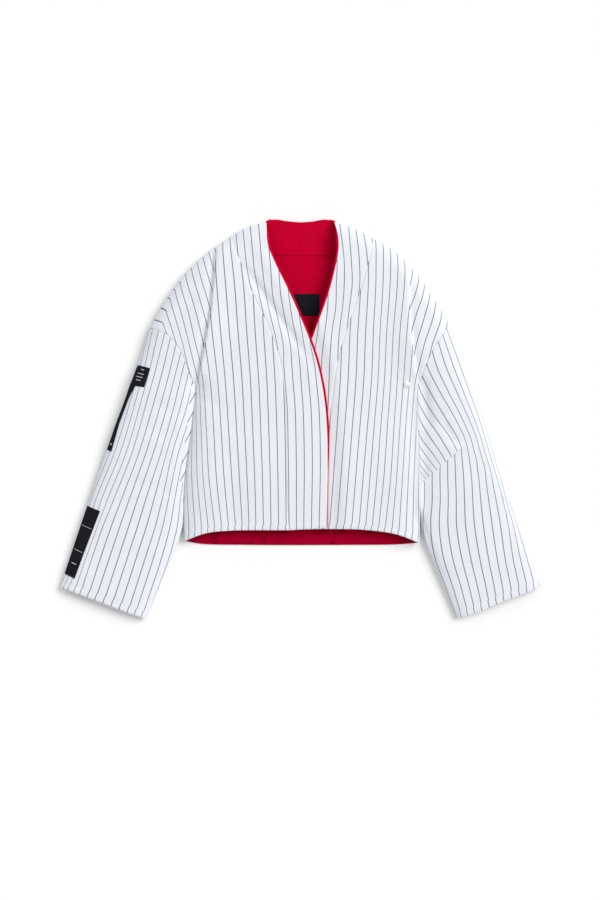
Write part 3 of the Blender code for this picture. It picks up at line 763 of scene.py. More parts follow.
def stripe_number(points, name):
    """Number of the stripe at plan points, counted in a piece's own table."""
    table = STRIPES[name]
    numbers = np.array(table["numbers"], dtype=float)
    heights = np.array(sorted(table["rows"]), dtype=float)
    rows = np.array([table["rows"][height] for height in sorted(table["rows"])])
    if rows[0, 0] > rows[0, -1]:
        rows, numbers = rows[:, ::-1], numbers[::-1]
    x, y = points.reshape(-1, 2).T
    lines = hermite(heights, rows, y)
    low = np.clip((lines <= x[:, None]).sum(axis=1) - 1, 0, len(numbers) - 2)
    index = np.arange(len(x))
    share = (x - lines[index, low]) / (lines[index, low + 1] - lines[index, low])
    number = numbers[low] + share * (numbers[low + 1] - numbers[low])
    return number.reshape(points.shape[:-1])


def roll_outwards(points, width, height):
    """Plan points moved out by the length of cloth that the roll at the outline takes up."""
    offset, distance = from_lines(points, ROLLED)
    angles = np.linspace(0.0, math.pi / 2, CURVE_SAMPLES)
    arc = run_length(np.column_stack((width * np.sin(angles), height * np.cos(angles))))
    reach = width - width * np.sin(angles)
    extra = np.interp(distance, reach[::-1], (arc - width * np.sin(angles))[::-1])
    outwards = -offset / np.maximum(distance, NEAR_ZERO)[..., None]
    for edge, inner in ((0, 1), (-1, -2)):
        outwards[:, edge] = outwards[:, inner]
        outwards[edge] = outwards[inner]
    return points + outwards * extra[..., None]


def hooked(points, half):
    """Plan points moved in from the shoulder's outline, as far as its cloth turns over."""
    line = CURVES[half]["shoulder"]
    offset, distance = from_lines(points, [line])
    from_drop = np.linalg.norm(points - line[0], axis=-1)
    extra = HOOK_AT_DROP[half] - HOOK[half]
    depth = HOOK[half] + extra * np.exp(-(from_drop / HOOK_REACH) ** 2)
    moved = np.maximum(depth - distance, 0.0) / np.maximum(distance, NEAR_ZERO)
    moved[-1] = 0.0
    inner = points + offset * moved[..., None]
    inner[-1] = 2 * inner[-2] - inner[-3]
    return inner


def stripes_at(points, name):
    """Stripe number of both fields of a piece and the distance past the line between them."""
    number = stripe_number(points, name)
    if name in STRIPE_JUMPS:
        jump = STRIPE_JUMPS[name]
        line = smooth_curve(jump["line"])
        start, stop = jump["from"]
        past = (points[..., 0] - np.interp(points[..., 1], line[:, 1], line[:, 0])) * jump["side"]
        weight = smooth_step((points[..., 1] - start) / (stop - start))
        beyond = stripe_number(points, name + "_beyond")
        return number, number + (beyond - number) * weight, past
    if name == "sleeve_left":
        place, past = along_and_aside(points, *SLEEVE_JUMP["from"], *SLEEVE_JUMP["to"])
        beyond = stripe_number(points, name + "_beyond")
        after = smooth_step((place - SLEEVE_JUMP["end"]) / SLEEVE_JUMP["fade"])
        return number + (beyond - number) * after, beyond, past
    return number, number, np.full(number.shape, -1.0)


def underarm_stripes(points):
    """Stripe number of the strip that turns up at the underarm, and the distance into it."""
    distance = distance_from(points, [CURVES["right"]["sleeve_inner"]])
    number = points @ np.array(UNDERARM["lean"]) / UNDERARM["pitch"] - UNDERARM["start"]
    return number, np.minimum(UNDERARM["width"] - distance, points[..., 1] - UNDERARM["end"])


def kinked(points, lines, reach):
    """Plan points with the small sideways step that stripes make inside a turned hem."""
    distance = distance_from(points, lines)
    moved = points.copy()
    moved[..., 0] += HEM_KINK * smooth_step((reach - distance) / HEM_KINK_WIDTH + 0.5)
    return moved


# Meshes

def start_clean():
    """Leave edit mode and select nothing."""
    if bpy.context.object and bpy.context.object.mode != "OBJECT":
        bpy.ops.object.mode_set(mode="OBJECT")
    bpy.ops.object.select_all(action="DESELECT")


def in_edit_mode(piece, *steps):
    """Run mesh operators on the whole of a piece."""
    bpy.context.view_layer.objects.active = piece
    bpy.ops.object.mode_set(mode="EDIT")
    bpy.ops.mesh.select_all(action="SELECT")
    for step in steps:
        step()
    bpy.ops.object.mode_set(mode="OBJECT")


def merge_doubles():
    """Merge the points of a mesh that lie on each other."""
    bpy.ops.mesh.remove_doubles(threshold=MERGE_DISTANCE)


def face_outwards():
    """Turn a closed mesh's faces outwards."""
    bpy.ops.mesh.normals_make_consistent(inside=False)


def with_height(points, height):
    """Plan points with a height for each."""
    return np.concatenate((points, np.asarray(height)[..., None]), axis=-1)


def add_grid(name, grid, along, beyond=None):
    """A mesh on a grid of points in millimetres, with the maps for its weave and stripes."""
    rows, columns = grid.shape[:2]
    start_clean()
    bpy.ops.mesh.primitive_grid_add(x_subdivisions=columns - 1, y_subdivisions=rows - 1, size=1.0)
    piece = bpy.context.object
    piece.name = piece.data.name = name
    mesh = piece.data
    flat = np.empty(len(mesh.vertices) * 3)
    mesh.vertices.foreach_get("co", flat)
    flat = flat.reshape(-1, 3)
    column = np.rint((flat[:, 0] + 0.5) * (columns - 1)).astype(int)
    row = np.rint((flat[:, 1] + 0.5) * (rows - 1)).astype(int)
    mesh.vertices.foreach_set("co", (grid[row, column] * MM).ravel())
    corners = np.empty(len(mesh.loops), dtype=int)
    mesh.loops.foreach_get("vertex_index", corners)
    write_map(mesh, "cloth", along[row[corners], column[corners]])
    if beyond is not None:
        write_map(mesh, "beyond", beyond[row[corners], column[corners]])
    mesh.update()
    return piece


def add_cloth(name, grid, along, finishes, wall, upwards, beyond=None, tube=False,
              bevel=CLOTH_BEVEL):
    """A piece of cloth: a grid laid on face points, with its wall behind them.

    along holds the place across the stripes and along them, for the weave and the stripes.
    """
    piece = add_grid(name, grid, along, beyond)
    middle, quarter = grid.shape[0] // 2, grid.shape[1] // 4
    across = grid[middle, quarter + 1] - grid[middle, quarter]
    up = grid[middle + 1, quarter] - grid[middle, quarter]
    steps = []
    if (np.cross(across, up)[2] > 0) != upwards:
        steps.append(bpy.ops.mesh.flip_normals)
    if tube:
        steps.append(merge_doubles)
    in_edit_mode(piece, *steps)
    for finish in finishes:
        piece.data.materials.append(finish)
    solid = piece.modifiers.new("wall", "SOLIDIFY")
    solid.thickness = wall * MM
    solid.offset = -1.0
    solid.material_offset = len(finishes) - 1
    bpy.ops.object.modifier_apply(modifier=solid.name)
    if bevel:
        round_edges(piece, bevel)
    bpy.ops.object.shade_smooth_by_angle(angle=CLOTH_ANGLE)
    return piece


def add_cord_mesh(name, grid, along, finish):
    """A closed tube on rings of points, capped at both ends."""
    piece = add_grid(name, grid, along)
    in_edit_mode(piece,
                 merge_doubles,
                 lambda: bpy.ops.mesh.fill_holes(sides=0),
                 face_outwards)
    piece.data.materials.append(finish)
    bpy.ops.object.shade_smooth_by_angle(angle=CLOTH_ANGLE)
    return piece


def write_map(mesh, name, values):
    """Write a UV map in metres."""
    layer = mesh.uv_layers.get(name)
    if layer is None and name == "cloth" and mesh.uv_layers:
        layer = mesh.uv_layers[0]
        layer.name = name
    if layer is None:
        layer = mesh.uv_layers.new(name=name)
    layer.uv.foreach_set("vector", np.ascontiguousarray(values * MM, dtype=np.float32).ravel())


def round_edges(piece, width):
    """Round a piece's sharp edges by this width."""
    bevel = piece.modifiers.new("round", "BEVEL")
    bevel.width = width * MM
    bevel.segments = BEVEL_SEGMENTS
    bevel.limit_method = "ANGLE"
    bevel.angle_limit = BEVEL_ANGLE
    bpy.ops.object.modifier_apply(modifier=bevel.name)


def surface_at(piece, plan):
    """Points on top of a piece at plan points, and how it faces there."""
    tree = BVHTree.FromObject(piece, bpy.context.evaluated_depsgraph_get())
    points, normals = np.empty((2, *plan.shape[:-1], 3))
    for index in np.ndindex(plan.shape[:-1]):
        above = Vector((*plan[index], SKY)) * MM
        place, normal, _, _ = tree.ray_cast(above, Vector((0.0, 0.0, -1.0)))
        if place is None:
            raise ValueError(f"nothing of {piece.name} lies under {plan[index]}")
        points[index] = place / MM
        normals[index] = normal
    return points, normals


def unit(vectors):
    """The same directions at length 1."""
    return vectors / np.linalg.norm(vectors, axis=-1)[..., None]


def stripe_maps(points, name, pitch):
    """Both maps of a striped piece: across and along the stripes, and the field past a fold."""
    number, beyond, past = stripes_at(points, name)
    along = np.stack((number * pitch, points[..., 1]), axis=-1)
    return along, np.stack((beyond * pitch, past), axis=-1)


def plain_maps(across, along):
    """Both maps of a piece with one even field."""
    return (np.stack((across, along), axis=-1),
            np.stack((across, np.full(across.shape, -1.0)), axis=-1))


def keep(piece, slot, *nodes):
    """Let a piece ride on the jacket in place of solids."""
    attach(piece, BODY)
    if nodes:
        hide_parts(*nodes)
    return piece


# Cloth pieces

def side_rows(half, step):
    """Points up the side seam and the armhole."""
    side = spaced(CURVES[half]["side"], SEAM_ROWS, SEAM_ROWS, step)
    return end_to_end(side, armhole_rows(half))


def armhole_rows(half):
    """Points up the armhole, close together at both rolled edges."""
    return spaced(CURVES[half]["armhole"], ROLL_ROWS, ROLL_ROWS, CLOTH_STEP)


def neck_rows(half):
    """Points along the back neck seam, from the fold to the centre back."""
    return spaced(CURVES[half]["neck_seam"], ROLL_ROWS, SEAM_ROWS, CLOTH_STEP)


def make_front(half, sizes, finishes):
    """A front, from its side seam and armhole to its band seam."""
    name = "front_" + half
    lines = CURVES[half]
    outer = side_rows(half, CLOTH_STEP)
    inner = like(lines["band_seam"], outer)
    hem = spaced(lines["front_hem"], ROLL_ROWS, SEAM_ROWS, CLOTH_STEP)
    plan = panel(outer, inner, hem, like(lines["shoulder"], hem))
    height, rounding = top_height(plan, half, tucked=half == UNDER_HALF)
    height += relief(plan, name, rounding) + seam_rise(plan, SEAMS) * rounding
    height += hem_rise(plan, [lines["front_hem"]], HEM_STITCH_IN) * rounding
    height[:, 0] = np.minimum(height[:, 0], RIM)
    grid = with_height(plan, height)
    where = roll_outwards(hooked(plan, half), TOP_ROLL, ROLL_HEIGHT - RIM)
    where = kinked(where, [lines["front_hem"]], HEM_STITCH_IN)
    along, beyond = stripe_maps(where, name, sizes.stripe_pitch / MM)
    piece = add_cloth(name + "_cloth", grid, along, finishes, sizes.wall / MM, True, beyond)
    keep(piece, "striped_cloth", name)
    return piece, grid


def band_grids(half):
    """Outer points of half the band: up the front to the fold, and from there to the back."""
    lines = CURVES[half]
    pattern = side_rows(half, CLOTH_STEP)
    seam = like(lines["band_seam"], pattern)
    edge = like(lines["free_edge"], pattern)
    hem = spaced(np.linspace(seam[0], edge[0], CURVE_SAMPLES), SEAM_ROWS, SEAM_ROWS, CLOTH_STEP)
    plan = panel(seam, edge, hem, like(lines["neck_fold"], hem))
    height, rounding = top_height(plan, half, tucked=half == UNDER_HALF)
    height += relief(plan, "band_" + half, rounding) + seam_rise(plan, SEAMS) * rounding
    height += hem_rise(plan, [hem], HEM_STITCH_IN) * rounding
    height[-1] = RIM
    front = with_height(plan, height)
    rows = neck_rows(half)
    rim = like(lines["back_rim"], rows)
    centre = like(np.linspace(rows[-1], rim[-1], CURVE_SAMPLES), hem)
    back_plan = panel(rows, rim, plan[-1], centre)
    return front, with_height(back_plan, bottom_height(back_plan))


def make_band(half, sizes, finishes):
    """Half the band: up the front, over the side of the neck, to the centre back."""
    name = "band_" + half
    front, back = band_grids(half)
    pitch = sizes.stripe_pitch / MM
    number = stripe_number(front[..., :2], name)
    behind = np.repeat(number[-1:], len(back) - 1, axis=0)
    across = np.concatenate((number, behind)) * pitch
    lengths = run_length(end_to_end(front[:, 0], back[:, 0]))
    along = np.broadcast_to(lengths[:, None], across.shape)
    maps = plain_maps(across, along)
    whole = np.concatenate((front, back[1:]))
    piece = add_cloth(name + "_cloth", whole, maps[0], finishes, sizes.wall / MM, True, maps[1])
    keep(piece, "striped_cloth", name)
    return piece, front, back, whole


def make_band_lining(half, back, sizes, finish):
    """The red inner band behind the neck."""
    first = len(ROLL_ROWS) - 1
    grid = back[first:, 1:-1].copy()
    rise, length, seed = BAND_LINING_WAVES
    grid[..., 2] += sizes.wall / MM + LAYER_GAP + sizes.lining_wall / MM
    grid[..., 2] += rise * ripple(grid[..., :2], length, seed)
    grid[-1, :, 2] -= BAND_LINING_DROP
    piece = add_cloth("band_lining_" + half + "_cloth", grid, grid[..., :2], [finish],
                      sizes.lining_wall / MM, True, bevel=LINING_BEVEL)
    keep(piece, "red_cloth", "band_lining_" + half)
    return piece, grid


def evened(line):
    """A line of points with its corners eased."""
    line = line.copy()
    for _ in range(EDGE_EASING):
        line[1:-1] = (line[:-2] + 2 * line[1:-1] + line[2:]) / 4
    return line


def outward_frame(line, neighbour):
    """Unit directions along an edge, out of the cloth and across its face."""
    along = unit(np.gradient(line, axis=0))
    out = line - neighbour
    out = unit(out - (out * along).sum(axis=1)[:, None] * along)
    return out, unit(np.cross(along, out))


def make_edge(half, whole, sizes, finish):
    """The red inner cloth rolled out along the band's free edge, from the hem to the centre back."""
    edge, neighbour = evened(whole[:, -1]), evened(whole[:, -3])
    out, face = outward_frame(edge, neighbour)
    face *= np.where(face[:len(face) // 2, 2].mean() > 0, 1.0, -1.0)
    share = smooth_step((edge[:, 1] - EDGE_WIDENS["from"]) / EDGE_WIDENS["over"])
    share *= 1 - smooth_step((edge[:, 1] - EDGE_NARROWS["from"]) / EDGE_NARROWS["over"])
    reach = (EDGE_LEAST + (sizes.edge_width / MM / 2 - EDGE_LEAST) * share)[:, None, None]
    thick = sizes.wall / MM / 2 + EDGE_PROUD
    middle = edge - face * sizes.wall / MM / 2 + out * (reach[:, 0] - EDGE_SINK)
    turn = np.linspace(0.0, math.tau, RING_POINTS + 1)
    ring = np.cos(turn)[None, :, None] * out[:, None] * reach
    ring = ring + np.sin(turn)[None, :, None] * face[:, None] * thick
    lengths = run_length(edge)
    wave = 1 + EDGE_WAVE * np.sin(lengths / EDGE_WAVE_LENGTH)[:, None, None]
    grid = middle[:, None] + ring * wave
    along = np.stack(np.broadcast_arrays(turn * EDGE_GIRTH, lengths[:, None]), axis=-1)
    piece = add_cord_mesh("edge_" + half + "_cloth", grid, along, finish)
    nodes = ["edge_" + half] + ["edge_neck"] * (half == "right")
    return keep(piece, "red_cloth", *nodes)


def make_back(sizes, finishes):
    """The striped back, which lies on the floor with its edges rolled up."""
    sides = {half: side_rows(half, BACK_STEP) for half in CURVES}
    sides["left"] = like(end_to_end(CURVES["left"]["side"], CURVES["left"]["armhole"]),
                         sides["right"])
    tops = {}
    for half in CURVES:
        shoulder = spaced(CURVES[half]["shoulder"], ROLL_ROWS, SEAM_ROWS, CLOTH_STEP)[:-1]
        tops[half] = end_to_end(shoulder, neck_rows(half))
    top = end_to_end(tops["right"], tops["left"][::-1])
    hem = like(smooth_curve(BACK_HEM), top)
    plan = panel(sides["right"], sides["left"], hem, top)
    grid = with_height(plan, bottom_height(plan))
    where = roll_outwards(plan, BOTTOM_ROLL, RIM)
    maps = plain_maps(where[..., 0], where[..., 1])
    piece = add_cloth("back_cloth", grid, maps[0], finishes, sizes.wall / MM, False, maps[1])
    return keep(piece, "striped_cloth", "back_panel"), grid


def make_back_lining(sizes, finish):
    """The red inner back, with its light creases and the stitch line of the hem."""
    side = spaced(smooth_curve(LINING["side"]), SEAM_ROWS, SEAM_ROWS, LINING_STEP)
    other = like(smooth_curve(LINING["other_side"]), side)
    top = spaced(smooth_curve(LINING["top"]), SEAM_ROWS, SEAM_ROWS, LINING_STEP)
    hem = like(smooth_curve(LINING["hem"]), top)
    plan = panel(side, other, hem, top)
    low = (sizes.wall + sizes.lining_wall) / MM + LAYER_GAP
    rise, length, seed = BACK_LINING_WAVES
    uneven = rise + rise * ripple(plan, length, seed) + crease_rise(plan, "back_lining")
    from_label = distance_from(plan, [label_outline()])
    uneven = uneven * smooth_step(from_label / LABEL_CLEARANCE) * (~inside_label(plan))
    from_hem = distance_from(plan, [smooth_curve(LINING["hem"])])
    groove = np.exp(-((from_hem - LINING_STITCH_IN) / STITCH_GROOVE_WIDTH) ** 2)
    raised = np.maximum(uneven, 0.0) * (1 - groove) * smooth_step(from_hem / LINING_HEM_FADE)
    grid = with_height(plan, low + raised)
    piece = add_cloth("back_lining_cloth", grid, plan, [finish], sizes.lining_wall / MM, True,
                      bevel=LINING_BEVEL)
    return keep(piece, "red_cloth", "back_lining"), grid


def label_outline():
    """The label's outline in plan."""
    half = np.array(LABEL_SIZE) / 2
    corners = [(-1, -1), (1, -1), (1, 1), (-1, 1), (-1, -1)]
    return np.array(LABEL_CENTRE) + np.array(corners) * half


def inside_label(plan):
    """Whether plan points lie under the label."""
    return (np.abs(plan - np.array(LABEL_CENTRE)) < np.array(LABEL_SIZE) / 2).all(axis=-1)


def make_sleeve(half, sizes, finishes):
    """A sleeve: one flattened tube from the armhole to the open cuff."""
    name = "sleeve_" + half
    lines = CURVES[half]
    armhole = armhole_rows(half)[::-1]
    outer = spaced(lines["sleeve_outer"], SEAM_ROWS, SEAM_ROWS, CLOTH_STEP)
    inner = like(lines["sleeve_inner"], outer)
    plan = panel(outer, inner, armhole, like(lines["cuff"], armhole))
    height, rounding = top_height(plan, half, sleeve=True)
    height += relief(plan, name, rounding) + seam_rise(plan, SEAMS) * rounding
    cuff = [lines["cuff"]]
    height += hem_rise(plan, cuff, CUFF_STITCH_IN) * rounding
    under_height = bottom_height(plan, sleeve=True)
    for edge in (0, -1):
        taper = sleeve_taper(plan[:, edge])
        height[:, edge] = under_height[:, edge] = RIM + (RIM_AT_CUFF - RIM) * taper
    top = with_height(plan, height)
    under = with_height(plan, under_height)
    rings = np.concatenate((top[:, ::-1], under[:, 1:]), axis=1)
    where = roll_outwards(plan, TOP_ROLL, ROLL_HEIGHT - RIM)
    below = roll_outwards(plan, BOTTOM_ROLL, RIM)
    below = where[:, :1] + below[:, :1] - below
    where = np.concatenate((kinked(where, cuff, CUFF_STITCH_IN)[:, ::-1], below[:, 1:]), axis=1)
    along, beyond = stripe_maps(where, name, sizes.stripe_pitch / MM)
    if half == "right":
        number, past = underarm_stripes(rings[..., :2])
        beyond = np.stack((number * sizes.stripe_pitch / MM, past), axis=-1)
    beyond[:, plan.shape[1]:, 1] = -1.0
    beyond[:, plan.shape[1]:, 0] = along[:, plan.shape[1]:, 0]
    piece = add_cloth(name + "_cloth", rings, along, finishes, sizes.wall / MM, True, beyond,
                      tube=True)
    keep(piece, "striped_cloth", name)
    return piece, rings


# Trim

def between(line, rows):
    """Points of a table's straight lines at fractional row numbers."""
    points = np.array(line, dtype=float)
    return np.column_stack([np.interp(rows, range(len(points)), points[:, k]) for k in (0, 1)])


def patch_plan(name):
    """Plan points of a sleeve patch, its rows running down the sleeve."""
    lines = PATCHES[name]
    outer, inner = np.array(lines["outer"], float), np.array(lines["inner"], float)
    rows = []
    for index in range(len(outer) - 1):
        length = np.linalg.norm(outer[index + 1] - outer[index])
        count = max(1, round(length / PATCH_STEP))
        rows.extend(index + step / count for step in range(count))
    rows.append(len(outer) - 1)
    share = np.linspace(0.0, 1.0, PATCH_COLUMNS)[None, :, None]
    return between(outer, rows)[:, None] * (1 - share) + between(inner, rows)[:, None] * share


def make_patch(name, sleeve, finish):
    """A dark patch that follows the sleeve's surface."""
    plan = patch_plan(name)
    points, normals = surface_at(sleeve, plan)
    piece = add_cloth(name + "_cloth", points + normals * PATCH_LIFT, plan, [finish], PATCH_WALL,
                      True, bevel=PATCH_BEVEL)
    return keep(piece, "label_cloth", name)


def make_print(sleeve, finish):
    """Plain pale bars printed on the patches."""
    pieces = []
    for index, (name, place, aside, length, width) in enumerate(PRINT_BARS):
        plan = patch_plan(name)
        last = len(plan) - 1
        row = int(place * last)
        above, below = max(row - PRINT_SLOPE_ROWS, 0), min(row + PRINT_SLOPE_ROWS, last)
        side = plan[row, -1] - plan[row, 0]
        down = unit(plan[below, 0] - plan[above, 0])
        u = np.linspace(-length / 2, length / 2, PRINT_POINTS[0])[None, :, None] * unit(side)
        v = np.linspace(-width / 2, width / 2, PRINT_POINTS[1])[:, None, None] * down
        bar = plan[row, 0] + side * aside + u + v
        points, normals = surface_at(sleeve, bar)
        grid = points + normals * (PATCH_LIFT + PRINT_LIFT)
        pieces.append(add_cloth(f"print_bar_{index}", grid, bar, [finish], PRINT_WALL, True,
                                bevel=0))
    start_clean()
    for piece in pieces:
        piece.select_set(True)
    bpy.context.view_layer.objects.active = pieces[0]
    bpy.ops.object.join()
    joined = bpy.context.object
    joined.name = joined.data.name = "patch_print"
    return keep(joined, "label_cloth")


def make_label(sizes, finish):
    """The dark woven label on the inner back, its ends folded under, with one embossed bar."""
    low = (sizes.wall + 2 * sizes.lining_wall) / MM + LAYER_GAP
    half = np.array(LABEL_SIZE) / 2
    sides = [np.linspace(-reach, reach, count) for reach, count in zip(half, LABEL_POINTS)]
    plan = np.stack(np.meshgrid(*sides), axis=-1)
    inset = (half - np.abs(plan)).min(axis=-1)
    depth, groove_in, width = LABEL_GROOVE
    height = low - LABEL_SINK + LABEL_RISE * smooth_step(inset / LABEL_FOLD)
    height -= depth * np.exp(-((inset - groove_in) / width) ** 2)
    height += LABEL_BAR_RISE * (np.abs(plan) < LABEL_BAR).all(axis=-1)
    grid = with_height(plan + np.array(LABEL_CENTRE), height)
    piece = add_cloth("neck_label_cloth", grid, grid[..., :2], [finish], LABEL_WALL, True,
                      bevel=LABEL_BEVEL)
    return keep(piece, "label_cloth", "neck_label")


def make_snap(front, sizes, finish):
    """The pressed metal snap cap: a domed middle inside a rolled ring."""
    start_clean()
    bpy.ops.mesh.primitive_circle_add(vertices=SNAP_CORNERS, radius=sizes.snap_radius,
                                      fill_type="NGON")
    piece = bpy.context.object
    piece.name = piece.data.name = "snap_cap"
    bpy.ops.object.mode_set(mode="EDIT")
    bpy.ops.mesh.select_mode(type="FACE")
    bpy.ops.mesh.select_all(action="SELECT")
    for rise, share in SNAP_STEPS:
        bpy.ops.mesh.extrude_region_move(TRANSFORM_OT_translate={"value": (0, 0, rise * MM)})
        bpy.ops.transform.resize(value=(share, share, 1.0))
    bpy.ops.object.mode_set(mode="OBJECT")
    place, normal = surface_at(front, np.array([SNAP_PLACE]))
    turn = Vector(normal[0]).to_track_quat("Z", "Y")
    origin = Vector(place[0]) * MM + Vector(normal[0]) * SNAP_LIFT * MM
    for vertex in piece.data.vertices:
        vertex.co = turn @ vertex.co + origin
    in_edit_mode(piece, face_outwards)
    piece.data.materials.append(finish)
    bpy.ops.object.shade_smooth_by_angle(angle=SNAP_ANGLE)
    return keep(piece, "snap_metal", "snap")


# Stitches

def stitch_shape():
    """One stitch, lying along X: a small flattened bead of thread."""
    start_clean()
    bpy.ops.mesh.primitive_uv_sphere_add(segments=STITCH_SIDES, ring_count=STITCH_RINGS, radius=0.5,
                                         rotation=(0.0, math.pi / 2, 0.0))
    bead = bpy.context.object
    bpy.ops.object.transform_apply(location=False, rotation=True, scale=False)
    points = np.array([vertex.co[:] for vertex in bead.data.vertices])
    faces = [tuple(face.vertices) for face in bead.data.polygons]
    bpy.data.objects.remove(bead, do_unlink=True)
    return points, faces


def make_stitches(name, piece, line, shape, sizes, finish, slot):
    """A row of stitches along a plan line on top of a piece."""
    bead, faces = shape
    length = run_length(line)[-1]
    pitch = sizes.stitch_length / MM
    count = int(length / pitch)
    plan = at_lengths(line, (np.arange(count) + 0.5) * length / count)
    points, normals = surface_at(piece, plan)
    along = unit(np.gradient(points, axis=0))
    side = unit(np.cross(normals, along))
    local = bead * np.array((pitch * STITCH_SHARE, STITCH_WIDTH, STITCH_HEIGHT))
    centres = points + normals * STITCH_LIFT
    placed = (local[None, :, :1] * along[:, None] + local[None, :, 1:2] * side[:, None]
              + local[None, :, 2:] * normals[:, None] + centres[:, None])
    every = [tuple(corner + len(bead) * index for corner in face)
             for index in range(count) for face in faces]
    mesh = bpy.data.meshes.new(name)
    mesh.from_pydata([tuple(point) for point in placed.reshape(-1, 3) * MM], [], every)
    mesh.materials.append(finish)
    mesh.shade_smooth()
    row = bpy.data.objects.new(name, mesh)
    bpy.context.scene.collection.objects.link(row)
    return keep(row, slot)


# Finishes

def add_node(tree, kind, **settings):
    """A new node with its settings."""
    made = tree.nodes.new(kind)
    for key, value in settings.items():
        setattr(made, key, value)
    return made


def feed(tree, socket, value):
    """Link a socket, or give it a value."""
    if isinstance(value, bpy.types.NodeSocket):
        tree.links.new(value, socket)
    else:
        socket.default_value = value


def maths(tree, operation, *values):
    """Result of a maths node."""
    made = add_node(tree, "ShaderNodeMath", operation=operation)
    for socket, value in zip(made.inputs, values):
        feed(tree, socket, value)
    return made.outputs[0]


def blend(tree, share, first, second):
    """A colour between two others."""
    made = add_node(tree, "ShaderNodeMix", data_type="RGBA", blend_type="MIX")
    feed(tree, made.inputs["Factor"], share)
    feed(tree, made.inputs[6], first)
    feed(tree, made.inputs[7], second)
    return made.outputs[2]


def ramp(tree, value, low, high, out_low, out_high):
    """A soft step from one output to the other, as the value goes from low to high."""
    made = add_node(tree, "ShaderNodeMapRange", interpolation_type="SMOOTHSTEP")
    for socket, number in zip(made.inputs, (value, low, high, out_low, out_high)):
        feed(tree, socket, number)
    return made.outputs[0]


def noise(tree, where, name):
    """One of the noises in the table."""
    made = add_node(tree, "ShaderNodeTexNoise")
    tree.links.new(where, made.inputs["Vector"])
    for key, value in zip(("Scale", "Detail"), NOISES[name]):
        made.inputs[key].default_value = value
    return made.outputs["Fac"]


def object_place(tree):
    """Place on the object itself."""
    return add_node(tree, "ShaderNodeTexCoord").outputs["Object"]


def toned(colour, share):
    """A colour at this share of its brightness."""
    return [part * share for part in colour[:3]] + [1.0]


def map_parts(tree, name):
    """Both parts of a UV map."""
    source = add_node(tree, "ShaderNodeUVMap", uv_map=name)
    parts = add_node(tree, "ShaderNodeSeparateXYZ")
    tree.links.new(source.outputs[0], parts.inputs[0])
    return source.outputs[0], parts.outputs[0], parts.outputs[1]


def weave(tree, across, along, thread):
    """Over and under of crossing threads of this width, between -1 and 1."""
    turns = math.tau / (2 * thread)
    one = maths(tree, "SINE", maths(tree, "MULTIPLY", across, turns))
    other = maths(tree, "SINE", maths(tree, "MULTIPLY", along, turns))
    return maths(tree, "MULTIPLY", one, other)


def new_finish(name, roughness, sheen=0.0, metallic=0.0, specular=0.25):
    """A new material, its node tree and its shader."""
    made = bpy.data.materials.new(name)
    made.use_nodes = True
    shader = made.node_tree.nodes["Principled BSDF"]
    settings = {"Roughness": roughness, "Metallic": metallic, "Sheen Weight": sheen,
                "Sheen Roughness": 0.5, "Specular IOR Level": specular}
    for key, value in settings.items():
        shader.inputs[key].default_value = value
    return made, made.node_tree, shader


def bump(tree, shader, height, name):
    """Relief of the surface, as deep and strong as the table says."""
    made = add_node(tree, "ShaderNodeBump")
    for key, value in zip(("Distance", "Strength"), BUMPS[name]):
        made.inputs[key].default_value = value
    tree.links.new(height, made.inputs["Height"])
    tree.links.new(made.outputs[0], shader.inputs["Normal"])


def striped_finish(name, sizes, colours):
    """Crisp plain-weave cotton with a fine dark pinstripe, softly padded."""
    made, tree, shader = new_finish(name, roughness=0.8, sheen=0.12)
    where, first, along = map_parts(tree, "cloth")
    _, second, past = map_parts(tree, "beyond")
    chosen = maths(tree, "GREATER_THAN", past, 0.0)
    further = maths(tree, "MULTIPLY", chosen, maths(tree, "SUBTRACT", second, first))
    across = maths(tree, "ADD", first, further)
    waver = noise(tree, where, "stripe_waver")
    uneven = maths(tree, "MULTIPLY_ADD", waver, STRIPE_WAVER, -STRIPE_WAVER / 2)
    place = maths(tree, "DIVIDE", maths(tree, "ADD", across, uneven), sizes.stripe_pitch)
    phase = maths(tree, "FRACT", maths(tree, "ADD", place, STRIPE_START))
    aside = maths(tree, "ABSOLUTE", maths(tree, "SUBTRACT", phase, 0.5))
    from_middle = maths(tree, "MULTIPLY", aside, sizes.stripe_pitch)
    half = sizes.stripe_width / 2
    stripe = ramp(tree, from_middle, half - STRIPE_BLUR, half + STRIPE_BLUR, 1.0, 0.0)
    threads = ramp(tree, noise(tree, where, "stripe_threads"), 0.3, 0.7, 0.74, 1.0)
    soft = noise(tree, where, "cloth_shade")
    white = blend(tree, soft, colours.cloth_shade[:], colours.cloth[:])
    base = blend(tree, maths(tree, "MULTIPLY", stripe, threads), white, colours.stripe[:])
    tree.links.new(base, shader.inputs["Base Color"])
    parts = {"weave": weave(tree, across, along, COTTON_THREAD),
             "rough": noise(tree, where, "cloth_rough"),
             "pucker": noise(tree, where, "cloth_pucker")}
    woven, rough, pucker = (maths(tree, "MULTIPLY", part, CLOTH_RELIEF[key])
                            for key, part in parts.items())
    bump(tree, shader, maths(tree, "ADD", woven, maths(tree, "ADD", rough, pucker)), "cloth")
    return made


